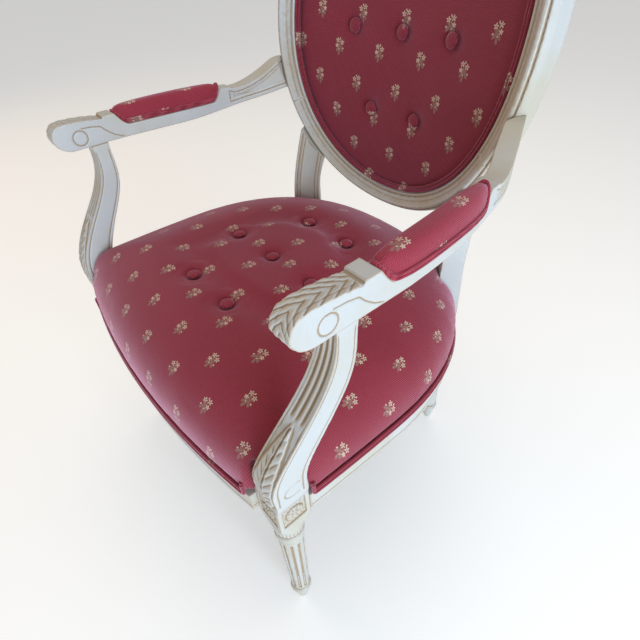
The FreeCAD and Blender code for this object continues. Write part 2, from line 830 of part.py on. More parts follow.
def dome_height(x, y):
    """The seat's height over one place, from the same rounding as the dome's."""
    full, middle = size.seat_fullness, seat_middle()
    half = (size.seat_widest_y + size.seat_rear_reach - size.seat_front_y) / 2
    distance = (abs(x / size.seat_half_width) ** full + abs((y - middle) / half) ** full) ** (1 / full)
    share = (1 - distance ** size.seat_shoulder) ** (1 / 2.6)
    top = size.seat_crown - size.seat_slope * (y - middle)
    return between(size.rail_top + size.welt_height + 1, top, share)


def corner_cuts(gap):
    """What the seat's upholstery is notched for at its four corners: the front blocks and the rear stiles."""
    half = size.block_width / 2 + gap
    front = block((size.leg_across - half, -size.leg_forward - 80, 300),
                  (size.leg_across + 80, -size.leg_forward + half, size.block_top + 60))
    cuts = [front, console(gap), stile(gap, 300), stile_passage(300, size.block_top, gap)]
    return cuts + [mirrored(cut) for cut in cuts]


def cut_by(shape, cuts):
    for cut in cuts:
        shape = shape.cut(cut)
    return shape


def strips(count, pitch, width, length, low, high, along_y):
    shapes = []
    for step in range(count):
        middle = (step - (count - 1) / 2) * pitch
        if along_y:
            shapes.append(block((middle - width / 2, -length, low), (middle + width / 2, length, high)))
        else:
            shapes.append(block((-length, middle - width / 2 - 8, low), (length, middle + width / 2 - 8, high)))
    return shapes


# Joinery

def dowel(centre, direction):
    way = Vector(*direction).normalize()
    return Part.makeCylinder(size.dowel_radius, size.dowel_length, Vector(*centre) - way * size.dowel_length / 2, way)


def dowels():
    """Two dowels across each of the eight joints between rails and legs."""
    half = size.block_width / 2
    inner_x, rear_y = size.leg_across - half, -size.leg_forward + half
    mid = size.rail_thickness / 2
    turn = math.radians(size.rear_leg_turn)
    along = Vector(math.cos(turn), -math.sin(turn), 0)
    outward = Vector(math.sin(turn), math.cos(turn), 0)
    centre = Vector(size.rear_leg_across, size.rear_leg_back, 0)
    line_in = outward * (size.rear_block_depth / 2 - mid - 4)
    side_end = centre + along * (size.rear_block_width / 2) + line_in
    rear_end = centre - along * (size.rear_block_width / 2) + line_in
    pairs = [((inner_x, -size.leg_forward - half + 2 + mid, 0), (1, 0, 0)),
             ((size.leg_across + half - mid - 1, rear_y, 0), (0, 1, 0)),
             (tuple(side_end), tuple(along)), (tuple(rear_end), tuple(along))]
    shapes = []
    for place, way in pairs:
        for z in (size.rail_bottom + size.dowel_inset, size.rail_top - size.dowel_inset):
            shapes.append(dowel((place[0], place[1], z), way))
    return shapes + [mirrored(shape) for shape in shapes]


def rails(leg_cuts):
    """The oval rail, parted by the legs into front, rear and two sides."""
    whole = seat_slab(size.rail_bottom, size.rail_top).cut(
        seat_slab(size.rail_bottom - 1, size.rail_top + 1, -size.rail_thickness))
    whole = cut_by(whole, leg_cuts + dowels())
    found = {}
    for solid in whole.Solids:
        middle = solid.CenterOfMass
        if abs(middle.x) < 20:
            found["front_rail" if middle.y < 0 else "rear_rail"] = solid
        elif solid.Volume > 5000:
            found["side_rail_left" if middle.x > 0 else "side_rail_right"] = solid
    return found


def corner_blocks(leg_cuts):
    """Glued and screwed braces across the four inner corners, under the webbing."""
    reach, low = size.corner_block_reach, size.rail_bottom + 3
    high = low + size.corner_block_height
    inside = seat_slab(low - 1, high + 1, -size.rail_thickness)
    x, y = size.leg_across + size.block_width / 2, -size.leg_forward - size.block_width / 2
    thick = reach * 0.42
    front = prism([(x - reach - thick, y), (x, y + reach + thick), (x, y + reach + thick * 2), (x - 9, y + reach + thick * 2.2),
                   (x - reach - thick * 2.2, y + 9), (x - reach - thick * 2, y)], low, high)
    turn = math.radians(size.rear_leg_turn)
    along = Vector(math.cos(turn), -math.sin(turn), 0)
    outward = Vector(math.sin(turn), math.cos(turn), 0)
    centre = Vector(size.rear_leg_across, size.rear_leg_back, 0)
    near = centre - outward * (size.rear_block_depth / 2)
    corners = [near - along * reach * 1.3 + outward * 60, near + along * reach * 1.3 + outward * 60,
               near + along * reach * 1.3 - outward * 6, near + along * reach * 0.6 - outward * thick,
               near - along * reach * 0.6 - outward * thick, near - along * reach * 1.3 - outward * 6]
    rear = prism([(corner.x, corner.y) for corner in corners], low, high)
    shapes = []
    for blank in (front, rear):
        shape = largest(cut_by(blank.common(inside), leg_cuts))
        shapes += [shape, mirrored(shape)]
    return shapes


def build():
    fill_sheet()
    set_back_axes()

    pegs = feature("frame_dowels", group_of(dowels()))
    leg = document.addObject("Part::Cut", "front_leg_left")
    leg.Base = front_leg()
    leg.Tool = pegs
    subparts.append(leg)
    mirror_of("front_leg_right", leg)
    glide = Part.makeCylinder(size.glide_radius, size.glide_thickness)
    glides = []
    for x, y in ((size.leg_across, -size.leg_forward), (size.rear_foot_across, size.rear_foot_back)):
        for sign in (1, -1):
            copy = glide.copy()
            copy.translate(Vector(sign * x, y, 0))
            glides.append(copy)
    feature("foot_glides", group_of(glides))

    half = size.block_width / 2
    blank = oval_blank()
    rear = cut_by(rear_leg(blank), dowels())
    front_cut = block((size.leg_across - half, -size.leg_forward - 80, 300),
                      (size.leg_across + 80, -size.leg_forward + half, 400))
    rear_cut = stile_passage(300, 400)
    leg_cuts = [front_cut, mirrored(front_cut), rear_cut, mirrored(rear_cut)]
    rail = rails(leg_cuts)
    for label in ("front_rail", "rear_rail", "side_rail_left", "side_rail_right"):
        feature(label, rail[label])
    rear_left = feature("rear_leg_left", rear)
    mirror_of("rear_leg_right", rear_left)
    feature("corner_blocks", group_of(corner_blocks(leg_cuts)))

    support = feature("arm_support_left", console())
    mirror_of("arm_support_right", support)
    arm_left = feature("arm_left", arm(blank))
    mirror_of("arm_right", arm_left)
    pad_left = feature("arm_pad_left", arm_pad())
    mirror_of("arm_pad_right", pad_left)
    welt_left = feature("arm_pad_welt_left", arm_pad_welt())
    mirror_of("arm_pad_welt_right", welt_left)

    profile = ring_profile()
    feature("back_crest", ring_member(50, 130, profile, 8))
    side = feature("back_side_left", ring_member(-30, 50, profile, 8))
    mirror_of("back_side_right", side)
    feature("back_base", ring_member(-150, -30, profile, 11))

    rim, gap = size.back_rim, size.soft_gap
    thick = size.cover_thickness
    back_places = list(back_button_places())
    inset = size.welt_width + gap * 2
    pad = back_slab(inset + 0.5, -rim - thick - gap, -size.back_pad_depth, size.back_crown + rim)
    cover = back_slab(inset, -rim, -rim - thick, size.back_crown + rim, size.back_crown + rim)
    deep = size.back_tuft_depth
    feature("back_pad", cut_by(pad, [tuft(place, face, deep, thick + gap) for place, face in back_places]))
    feature("back_cover", cut_by(cover, [tuft(place, face, deep) for place, face in back_places]))
    feature("back_buttons", group_of([button(place, face, deep) for place, face in back_places]))
    wide = size.welt_width
    cord = [(-wide, -4), (-wide, 0.5), (-wide * 0.78, 2.6), (-wide * 0.5, 0.9), (-wide * 0.22, 3.2), (-gap, 1),
            (-gap, -4)]
    feature("back_welt", group_of([ring_member(-90, 90, cord, 16), ring_member(90, 270, cord, 16)]))
    deep = size.outside_back_depth
    feature("outside_back", back_slab(gap + 3, -deep, -deep - thick))
    sheet_under = back_slab(gap, -size.back_pad_depth - gap, -size.back_pad_depth - gap - 1.2)
    feature("back_webbing", group_of([sheet_under]))
    edge = [(-3, -deep - 4), (-3, -deep), (-gap, -deep), (-gap, -deep - 4)]
    feature("outside_back_welt", group_of([ring_member(-90, 90, edge, 16), ring_member(90, 270, edge, 16)]))

    notches = corner_cuts(gap * 2)
    base = size.rail_top
    strip = size.webbing_thickness
    inside = seat_slab(base, base + strip * 2, -size.welt_width)
    lengthwise = strips(5, size.webbing_pitch, size.webbing_width, 400, base, base + strip, True)
    crosswise = strips(5, size.webbing_pitch, size.webbing_width, 400, base + strip, base + strip * 2, False)
    feature("seat_webbing", group_of([largest(cut_by(shape.common(inside), notches)) for shape in lengthwise]))
    feature("seat_webbing_cross", group_of([largest(cut_by(shape.common(inside), notches)) for shape in crosswise]))
    low = base + strip * 2
    edge_height = base + size.welt_height + 1
    places = [(Vector(x, y, dome_height(x, y)), Vector(0, 0, 1)) for x, y in
              button_places(size.seat_button_pitch, size.seat_button_row, size.seat_button_y)]
    rim = size.welt_width / 2 - size.welt_width - gap
    outer = dome(low, edge_height, size.seat_crown, 1, rim)
    inner = dome(low - 1, edge_height + thick, size.seat_crown - thick, 1 - thick, rim - thick)
    deep = size.seat_tuft_depth
    inner = cut_by(inner, [tuft(place, face, deep, thick) for place, face in places])
    cover = cut_by(outer, [tuft(place, face, deep) for place, face in places] + [inner] + notches)
    inner = dome(low, edge_height + thick + gap, size.seat_crown - thick - gap, 1 - thick - gap, rim - thick - gap)
    pad = cut_by(inner, notches + [tuft(place, face, deep, thick + gap) for place, face in places])
    feature("seat_cover", largest(cover))
    feature("seat_pad", largest(pad))
    feature("seat_buttons", group_of([button(place, face, deep) for place, face in places]))
    welt = seat_slab(base, base + size.welt_height, size.welt_width / 2).cut(
        seat_slab(base - 1, base + size.welt_height + 1, -size.welt_width / 2))
    feature("seat_welt", group_of([cut_by(welt, notches)]))
    linen = seat_slab(size.rail_bottom - 1.5, size.rail_bottom, -10)
    feature("dust_cover", largest(cut_by(linen, notches)))


def check_and_write():
    document.recompute()
    for thing in document.Objects:
        faults = [state for state in thing.State if state in ("Invalid", "Error")]
        if faults:
            raise RuntimeError(f"{thing.Label} is {faults}")
    print("middle of the chair", round(chair_middle().value, 2))
    os.makedirs("parts", exist_ok=True)
    for thing in subparts:
        shape = thing.Shape
        if shape.isNull() or not shape.isValid():
            raise RuntimeError(f"{thing.Label} has no valid shape")
        box = shape.optimalBoundingBox(False, False)
        print(f"{thing.Label:22s} {len(shape.Solids):3d} {shape.Volume / 1000:9.1f} cm3"
              f" x {box.XMin:.1f} {box.XMax:.1f} y {box.YMin:.1f} {box.YMax:.1f} z {box.ZMin:.1f} {box.ZMax:.1f}")
        shape.exportStep(f"parts/{thing.Label}.step")


build()
check_and_write()
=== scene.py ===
import math

import bpy
import numpy as np
from mathutils import Matrix, Vector


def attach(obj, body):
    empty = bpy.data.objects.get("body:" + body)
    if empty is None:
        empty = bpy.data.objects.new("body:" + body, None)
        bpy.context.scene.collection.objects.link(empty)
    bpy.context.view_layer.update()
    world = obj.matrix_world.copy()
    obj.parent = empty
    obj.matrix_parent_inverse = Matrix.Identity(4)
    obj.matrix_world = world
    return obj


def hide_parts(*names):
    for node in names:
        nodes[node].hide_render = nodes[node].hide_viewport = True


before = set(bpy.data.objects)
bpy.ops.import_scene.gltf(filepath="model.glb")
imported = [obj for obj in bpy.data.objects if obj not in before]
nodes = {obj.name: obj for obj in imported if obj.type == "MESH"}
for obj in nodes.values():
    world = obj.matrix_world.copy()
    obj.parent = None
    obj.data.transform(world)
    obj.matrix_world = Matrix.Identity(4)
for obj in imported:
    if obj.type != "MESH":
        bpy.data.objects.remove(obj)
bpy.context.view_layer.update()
scene = bpy.context.scene
bpy.ops.object.select_all(action="DESELECT")

SIDES = {"left": 1, "right": -1}
X, Y, Z = np.eye(3)

# The chair's drawing is in millimetres, and its zero lies this far ahead of the frame's origin.
MIDDLE = 8.407

# The back's oval has these half sizes. Its dish brings the sides forward, and it leans back about its middle.
OVAL_WIDE = 212
OVAL_HIGH = 241
OVAL_POWER = 2.11
OVAL_DISH = 49
OVAL_LEAN = math.radians(8.5)
CENTRE = np.array([0, 250.0, 762.0])
UP = np.array([0, math.sin(OVAL_LEAN), math.cos(OVAL_LEAN)])
FORWARD = np.array([0, -math.cos(OVAL_LEAN), math.sin(OVAL_LEAN)])

# The rails' outer plan is an oval with these half sizes, and the seat's dome rises from their top.
PLAN_WIDE = 295
PLAN_LONG = 308
PLAN_MIDDLE = -70
PLAN_POWER = 2.3
RAIL_TOP = 383
DOME_LONG = 267
DOME_MIDDLE = -29
DOME_TOP = 500

# The front legs' axes, and the foot of the rear stiles with their turn in degrees.
BLOCK_X = 267
BLOCK_Y = -240
STILE_X = 184
STILE_Y = 175
STILE_TURN = 46

# The arms' scoops are level in the middle and rise at both ends. Each holds a pad with these half sizes.
SCOOP_LEVEL = 650.9
SCOOP_RISE = 21.5
PAD_MIDDLE = -30.2
PAD_LONG = 92.9
PAD_WIDE = 16.6
PAD_TOP = 679.5
PAD_SHIFT = 2


def alone(piece):
    bpy.ops.object.select_all(action="DESELECT")
    piece.select_set(True)
    bpy.context.view_layer.objects.active = piece


def begun_from(label, *names):
    """A piece begun from copies of CAD nodes, merged into one mesh."""
    bpy.ops.object.select_all(action="DESELECT")
    copies = []
    for name in names:
        piece = nodes[name].copy()
        piece.data = nodes[name].data.copy()
        piece.parent = None
        for key in list(piece.keys()):
            del piece[key]
        scene.collection.objects.link(piece)
        piece.select_set(True)
        copies.append(piece)
    bpy.context.view_layer.objects.active = copies[0]
    if len(copies) > 1:
        bpy.ops.object.join()
    piece = bpy.context.active_object
    piece.name = label
    piece.data.name = label
    piece.data.materials.clear()
    bpy.ops.mesh.customdata_custom_splitnormals_clear()
    bpy.ops.object.mode_set(mode="EDIT")
    bpy.ops.mesh.select_all(action="SELECT")
    bpy.ops.mesh.remove_doubles(threshold=0.00002)
    bpy.ops.mesh.mark_sharp(clear=True)
    bpy.ops.object.mode_set(mode="OBJECT")
    return piece


def apply_all(piece):
    alone(piece)
    for modifier in list(piece.modifiers):
        bpy.ops.object.modifier_apply(modifier=modifier.name)


def eased(piece, rounds):
    smooth = piece.modifiers.new("Ease", "SMOOTH")
    smooth.factor = 0.5
    smooth.iterations = rounds
    apply_all(piece)


def remeshed(piece, cell, rounds):
    alone(piece)
    piece.data.remesh_voxel_size = cell
    bpy.ops.object.voxel_remesh()
    eased(piece, rounds)
    bpy.ops.object.shade_smooth()
    return piece


def read(piece, kind="co"):
    values = np.empty(len(piece.data.vertices) * 3)
    piece.data.vertices.foreach_get(kind, values)
    return values.reshape(-1, 3)


def write(piece, points):
    piece.data.vertices.foreach_set("co", np.ascontiguousarray(points, dtype=np.float32).ravel())
    piece.data.update()


def placed(piece):
    """The vertices' places in the drawing's millimetres."""
    places = read(piece) * 1000
    places[:, 1] += MIDDLE
    return places


def set_places(piece, places):
    """Moves the vertices to places in the drawing's millimetres."""
    write(piece, (places - MIDDLE * Y) * 0.001)


def carved(piece, relief):
    """Moves each vertex along its normal by the relief in millimetres, alike on the left and the right."""
    points, normals = read(piece), read(piece, "normal")
    places, folded = placed(piece), normals.copy()
    places[:, 0] = np.abs(places[:, 0])
    folded[:, 0] *= np.sign(points[:, 0] + 1e-9)
    write(piece, points + normals * relief(places, folded)[:, None] * 0.001)


def hollows(piece, rounds=5):
    """Stores how far each vertex lies under or over its surroundings, for glaze and wear."""
    points, normals = read(piece), read(piece, "normal")
    pairs = np.empty(len(piece.data.edges) * 2, int)
    piece.data.edges.foreach_get("vertices", pairs)
    first, second = pairs.reshape(-1, 2).T
    count = len(points)
    degree = np.maximum(np.bincount(first, minlength=count) + np.bincount(second, minlength=count), 1)
    even = points.copy()
    for _ in range(rounds):
        sums = [np.bincount(first, even[second, axis], count) + np.bincount(second, even[first, axis], count)
                for axis in range(3)]
        even = np.stack(sums, 1) / degree[:, None]
    depth = ((even - points) * normals).sum(1) * 1000
    layer = piece.data.attributes.new("hollow", "FLOAT", "POINT")
    layer.data.foreach_set("value", depth.astype(np.float32))


def shaded_inward(piece):
    """Paints shade on the parts of the oval's moulding that look inward, by adding to their stored depth so
    that they take more of the brown.
    """
    places, normals = placed(piece), read(piece, "normal")
    inward = -np.stack([places[:, 0], (places - CENTRE) @ UP], 1)
    inward /= np.linalg.norm(inward, axis=1)[:, None]
    share = normals[:, 0] * inward[:, 0] + (normals @ UP) * inward[:, 1]
    depth_and_shade = np.empty(len(places), dtype=np.float32)
    values = piece.data.attributes["hollow"].data
    values.foreach_get("value", depth_and_shade)
    # Painted shade: the slopes that look inward get more of the brown, darker as if in shade.
    depth_and_shade += (0.11 * soft_step(share, 0.1, 0.5)).astype(np.float32)
    values.foreach_set("value", depth_and_shade)


def cloth_map(piece, across, along):
    """Lays the cloth on a piece: its width and length in decimetres, by vertex."""
    layer = piece.data.uv_layers.new(name="Cloth")
    corners = np.empty(len(piece.data.loops), int)
    piece.data.loops.foreach_get("vertex_index", corners)
    places = np.stack([across, along], 1)[corners] * 0.01
    layer.data.foreach_set("uv", places.astype(np.float32).ravel())


def soft_step(value, low, high):
    """Rises smoothly from nought at the low value to one at the high value."""
    share = np.clip((value - low) / (high - low), 0, 1)
    return share * share * (3 - 2 * share)


def band(value, rise, fall):
    """One inside a band, with a soft rise and a soft fall to nought at its ends."""
    return soft_step(value, *rise) * (1 - soft_step(value, *fall))


def ridge(distance, half, height):
    """A rounded ridge over a line at nought, this wide to each side."""
    return height * np.clip(1 - (distance / half) ** 2, 0, 1)


def groove(distance, half, depth):
    """A rounded groove along a line at nought, this wide to each side."""
    return -ridge(distance, half, depth)


def blend(a, b, share):
    return a + (b - a) * share


def power(value, degree):
    """A power that keeps the value's sign."""
    return math.copysign(abs(value) ** degree, value)


def oval_share(across, along, degree):
    """How far out a place lies in an oval with half sizes of one: nought in its middle, one on its edge."""
    return (np.abs(across) ** degree + np.abs(along) ** degree) ** (1 / degree)


# Node tools

def node(tree, kind, **values):
    made = tree.nodes.new(kind)
    for name, value in values.items():
        setattr(made, name, value)
    return made


def put(tree, target, value):
    if isinstance(value, bpy.types.NodeSocket):
        tree.links.new(value, target)
    else:
        target.default_value = value


def maths(tree, operation, *values, clamp=False):
    made = node(tree, "ShaderNodeMath", operation=operation, use_clamp=clamp)
    for socket, value in zip(made.inputs, values):
        put(tree, socket, value)
    return made.outputs[0]


def vectors(tree, operation, *values):
    made = node(tree, "ShaderNodeVectorMath", operation=operation)
    for socket, value in zip(made.inputs, values):
        put(tree, socket, value)
    return made.outputs["Value" if operation in ("LENGTH", "DISTANCE") else "Vector"]


def mixed(tree, share, first, second):
    made = node(tree, "ShaderNodeMix", data_type="RGBA", clamp_factor=True)
    put(tree, made.inputs[0], share)
    put(tree, made.inputs[6], first)
    put(tree, made.inputs[7], second)
    return made.outputs[2]


def ranged(tree, value, low, high, start=0.0, end=1.0):
    made = node(tree, "ShaderNodeMapRange", interpolation_type="SMOOTHSTEP")
    for socket, entry in zip(made.inputs, (value, low, high, start, end)):
        put(tree, socket, entry)
    return made.outputs[0]


def noise(tree, place, scale, detail=2.0, rough=0.5):
    made = node(tree, "ShaderNodeTexNoise")
    put(tree, made.inputs["Vector"], place)
    made.inputs["Scale"].default_value = scale
    made.inputs["Detail"].default_value = detail
    made.inputs["Roughness"].default_value = rough
    return made.outputs["Fac"]


def group(name, inputs, outputs):
    tree = bpy.data.node_groups.new(name, "ShaderNodeTree")
    for label, kind in inputs:
        tree.interface.new_socket(label, in_out="INPUT", socket_type=kind)
    for label, kind in outputs:
        tree.interface.new_socket(label, in_out="OUTPUT", socket_type=kind)
    return tree, tree.nodes.new("NodeGroupInput"), tree.nodes.new("NodeGroupOutput")


def material(name):
    made = bpy.data.materials.new(name)
    made.use_nodes = True
    tree = made.node_tree
    return made, tree, tree.nodes["Principled BSDF"]


def bumped(tree, shader, height, strength, distance=0.001):
    bump = node(tree, "ShaderNodeBump")
    bump.inputs["Strength"].default_value = strength
    bump.inputs["Distance"].default_value = distance
    put(tree, bump.inputs["Height"], height)
    put(tree, shader.inputs["Normal"], bump.outputs[0])


# A full turn of the waves that a weave's threads follow.
TURN = 6.2832


def thread_group():
    """Ribs both ways of a weave, with uneven threads: a height, and a shade from it that is painted light,
    darker in the dips and lighter on the crests.
    """
    tree, inputs, outputs = group(
        "woven_threads",
        [("Place", "NodeSocketVector"), ("Rib", "NodeSocketFloat"), ("Warp", "NodeSocketFloat")],
        [("Height", "NodeSocketFloat"), ("Shade", "NodeSocketFloat")])
    place = inputs.outputs["Place"]
    parts = node(tree, "ShaderNodeSeparateXYZ")
    put(tree, parts.inputs[0], place)

    def waves(turns, height):
        return maths(tree, "MULTIPLY", maths(tree, "SINE", maths(tree, "MULTIPLY", turns, TURN)), height)

    uneven = maths(tree, "MULTIPLY", noise(tree, place, 0.05, 3.0), 1.2)
    rib_turns = maths(tree, "ADD", maths(tree, "DIVIDE", parts.outputs[1], inputs.outputs["Rib"]), uneven)
    warp_turns = maths(tree, "DIVIDE", parts.outputs[0], inputs.outputs["Warp"])
    threads_height = maths(tree, "ADD", waves(rib_turns, 0.22), waves(warp_turns, 0.34))
    slub = noise(tree, vectors(tree, "MULTIPLY", place, (0.06, 0.9, 1.0)), 1.0)
    height = maths(tree, "ADD", threads_height, maths(tree, "MULTIPLY", slub, 0.5))
    put(tree, outputs.inputs["Height"], height)
    # Painted light: the shade is darker where the threads dip and lighter on their crests.
    put(tree, outputs.inputs["Shade"], maths(tree, "ADD", maths(tree, "MULTIPLY", height, 0.9), 0.25))
    return tree


def sprig_shape_group():
    """One flower sprig about its own middle, in millimetres: blossoms of petals over leaves on a stem."""
    tree, inputs, outputs = group("sprig_shape", [("Place", "NodeSocketVector")],
                                  [("Blossom", "NodeSocketFloat"), ("Leaf", "NodeSocketFloat")])
    rough = noise(tree, inputs.outputs["Place"], 0.9)

    def ovals(shapes):
        """A mask of ovals, each given by its middle, its turn in degrees and its half sizes."""
        total = None
        for x, y, turn, long, wide in shapes:
            mapping = node(tree, "ShaderNodeMapping", vector_type="TEXTURE")
            put(tree, mapping.inputs["Vector"], inputs.outputs["Place"])
            mapping.inputs["Location"].default_value = (x, y, 0)
            mapping.inputs["Rotation"].default_value = (0, 0, math.radians(turn))
            mapping.inputs["Scale"].default_value = (long, wide, 1)
            flat = vectors(tree, "MULTIPLY", mapping.outputs[0], (1, 1, 0))
            distance = maths(tree, "ADD", vectors(tree, "LENGTH", flat), maths(tree, "MULTIPLY", rough, 0.5))
            mask = ranged(tree, distance, 1.05, 1.4, 1.0, 0.0)
            total = mask if total is None else maths(tree, "MAXIMUM", total, mask)
        return total

    # Each blossom's middle, and how far out its petals lie
    blossoms = [(-4.6, 7.5, 2.7), (4.4, 10.5, 2.7), (5.8, 1.5, 2.1)]
    petals = []
    for x, y, reach in blossoms:
        for turn in range(18, 378, 72):
            angle = math.radians(turn)
            petals.append((x + reach * math.cos(angle), y + reach * math.sin(angle), turn, 1.9, 1.1))
    buds = [(-7.4, -2.5, 230, 1.9, 1.2), (-0.6, 13.5, 90, 1.8, 1.2), (1.6, -4.5, 60, 1.7, 0.9)]
    hearts = [(x, y, 0, 1.5, 1.5) for x, y, reach in blossoms[:2]]
    leaves = [(-4.4, -4.8, 55, 5.0, 2.3), (4.2, -4.6, 120, 5.4, 2.5), (0.2, -4.5, 88, 9.5, 1.1),
              (1.0, 3.6, 75, 5.6, 1.7), (-3.2, 1.5, 120, 4.4, 1.5), (1.6, -11.0, 100, 4.0, 1.8)]
    put(tree, outputs.inputs["Blossom"], ovals(petals + buds))
    put(tree, outputs.inputs["Leaf"], ovals(hearts + leaves))
    return tree


def sprigs_group(shape):
    """Sprigs in rows that stand half a step apart, every second row turned over."""
    tree, inputs, outputs = group(
        "flower_sprigs", [("Place", "NodeSocketVector"), ("Step", "NodeSocketVector")],
        [("Blossom", "NodeSocketFloat"), ("Leaf", "NodeSocketFloat")])
    half = vectors(tree, "MULTIPLY", inputs.outputs["Step"], (0.5, 0.5, 0.5))
    below = vectors(tree, "MULTIPLY", half, (-1, -1, -1))
    narrowed, shortened = 1.05, 1.2
    found = []
    for offset, flip in ((0, 1), (0.5, -1)):
        shift = vectors(tree, "MULTIPLY", inputs.outputs["Step"], (offset, offset, 0))
        local = vectors(tree, "WRAP", vectors(tree, "SUBTRACT", inputs.outputs["Place"], shift), half, below)
        inner = node(tree, "ShaderNodeGroup", node_tree=shape)
        put(tree, inner.inputs[0], vectors(tree, "MULTIPLY", local, (flip * narrowed, shortened, 0)))
        found.append(inner)
    for name in ("Blossom", "Leaf"):
        both = maths(tree, "MAXIMUM", found[0].outputs[name], found[1].outputs[name])
        put(tree, outputs.inputs[name], both)
    return tree


threads = thread_group()
sprigs = sprigs_group(sprig_shape_group())


# Colours of the sprigs' blossoms and leaves.
CREAM = (0.60, 0.46, 0.34, 1)
TAUPE = (0.27, 0.165, 0.125, 1)


def repp_cloth(name, origin, step, tone):
    """Crimson ribbed cloth with small cream and taupe sprigs, laid by the piece's own map."""
    made, tree, shader = material(name)
    place = node(tree, "ShaderNodeUVMap", uv_map="Cloth").outputs[0]
    place = vectors(tree, "MULTIPLY", place, (100, 100, 0))
    weave = node(tree, "ShaderNodeGroup", node_tree=threads)
    put(tree, weave.inputs["Place"], place)
    weave.inputs["Rib"].default_value = 2.0
    weave.inputs["Warp"].default_value = 2.5
    pattern = node(tree, "ShaderNodeGroup", node_tree=sprigs)
    put(tree, pattern.inputs["Place"], vectors(tree, "SUBTRACT", place, (origin[0], origin[1], 0)))
    pattern.inputs["Step"].default_value = (step[0], step[1], 1)
    # Painted shade and highlight: the darker crimson lies in the threads' dips and the lit crimson on their
    # crests, and the sprigs take the same painted thread shade.
    shade = weave.outputs["Shade"]
    # The tone scales the crimson of this copy of the cloth: a lower tone paints shade, a higher one paints
    # light.
    shaded = (0.165 * tone, 0.010 * tone, 0.022 * tone, 1)
    lit = (0.37 * tone, 0.038 * tone, 0.062 * tone, 1)
    faded = (0.21 * tone, 0.012, 0.025, 1)
    blotch = ranged(tree, noise(tree, place, 0.012, 3.0), 0.35, 0.7, 0.0, 0.25)
    ground = mixed(tree, blotch, mixed(tree, shade, shaded, lit), faded)
    leaf_thread_shade = maths(tree, "ADD", maths(tree, "MULTIPLY", shade, 0.5), 0.5)
    leaf = maths(tree, "MULTIPLY", pattern.outputs["Leaf"], leaf_thread_shade)
    blossom_thread_shade = maths(tree, "ADD", maths(tree, "MULTIPLY", shade, 0.4), 0.68)
    blossom = maths(tree, "MULTIPLY", pattern.outputs["Blossom"], blossom_thread_shade, clamp=True)
    colour = mixed(tree, blossom, mixed(tree, leaf, ground, TAUPE), CREAM)
    put(tree, shader.inputs["Base Color"], colour)
    put(tree, shader.inputs["Roughness"], ranged(tree, shade, 0, 1, 0.78, 0.62))
    shader.inputs["Sheen Weight"].default_value = 0.75
    shader.inputs["Sheen Roughness"].default_value = 0.4
    shader.inputs["Sheen Tint"].default_value = (1.0, 0.60, 0.80, 1)
    shader.inputs["Specular IOR Level"].default_value = 0.25
    raised = maths(tree, "MULTIPLY", pattern.outputs["Blossom"], 0.5)
    bumped(tree, shader, maths(tree, "ADD", weave.outputs["Height"], raised), 0.55, 0.0005)
    return made


# Colours of the frame's finish.
PAINT = (0.505, 0.51, 0.51, 1)
AGED_PAINT = (0.48, 0.445, 0.37, 1)
BRUSH_STREAK = (0.50, 0.43, 0.33, 1)
# This brown is real glaze in the hollows, and also painted shade on the oval's inward faces.
BROWN_GLAZE_AND_SHADE = (0.31, 0.205, 0.11, 1)
WORN_EDGE = (0.44, 0.31, 0.19, 1)


def painted_wood():
    """Off-white paint with brown glaze left in the hollows and worn edges, and painted shade in the same
    brown on the oval's inward faces.
    """
    made, tree, shader = material("glazed_paint_and_shade")
    place = node(tree, "ShaderNodeTexCoord").outputs["Object"]
    hollow = node(tree, "ShaderNodeAttribute", attribute_name="hollow").outputs["Fac"]
    broad = noise(tree, place, 9, 3.0)
    fine = noise(tree, place, 160, 4.0, 0.6)
    streaks = noise(tree, vectors(tree, "MULTIPLY", place, (1, 1, 0.12)), 420)
    tone = mixed(tree, ranged(tree, broad, 0.38, 0.68), PAINT, AGED_PAINT)
    tone = mixed(tree, ranged(tree, streaks, 0.45, 0.8, 0.0, 0.22), tone, BRUSH_STREAK)
    patchy = maths(tree, "MULTIPLY", maths(tree, "SUBTRACT", fine, 0.5), 0.22)
    # The brown falls in the hollows as real glaze, and on the oval's inward faces as painted shade.
    glaze_and_shade = ranged(tree, maths(tree, "ADD", hollow, patchy), 0.03, 0.30, 0.0, 0.85)
    tone = mixed(tree, glaze_and_shade, tone, BROWN_GLAZE_AND_SHADE)
    exposed = maths(tree, "SUBTRACT", maths(tree, "MULTIPLY", patchy, 2.2), hollow)
    tone = mixed(tree, ranged(tree, exposed, 0.26, 0.42, 0.0, 0.55), tone, WORN_EDGE)
    put(tree, shader.inputs["Base Color"], tone)
    put(tree, shader.inputs["Roughness"], ranged(tree, maths(tree, "ADD", glaze_and_shade, fine), 0.3, 1.3, 0.42, 0.66))
    height = maths(tree, "ADD", maths(tree, "MULTIPLY", fine, 0.5), maths(tree, "MULTIPLY", streaks, 0.5))
    bumped(tree, shader, height, 0.35, 0.0006)
    return made


def bare_beech():
    """Straight-grained beech with short dark flecks."""
    made, tree, shader = material("beech_wood")
    place = node(tree, "ShaderNodeTexCoord").outputs["Object"]
    grain = noise(tree, vectors(tree, "MULTIPLY", place, (1, 0.15, 1)), 260, 3.0)
    flecks = noise(tree, place, 900, 1.0)
    tone = mixed(tree, ranged(tree, grain, 0.3, 0.7), (0.55, 0.36, 0.20, 1), (0.42, 0.25, 0.13, 1))
    tone = mixed(tree, ranged(tree, flecks, 0.6, 0.8, 0.0, 0.4), tone, (0.30, 0.17, 0.08, 1))
    put(tree, shader.inputs["Base Color"], tone)
    shader.inputs["Roughness"].default_value = 0.6
    bumped(tree, shader, grain, 0.2)
    return made


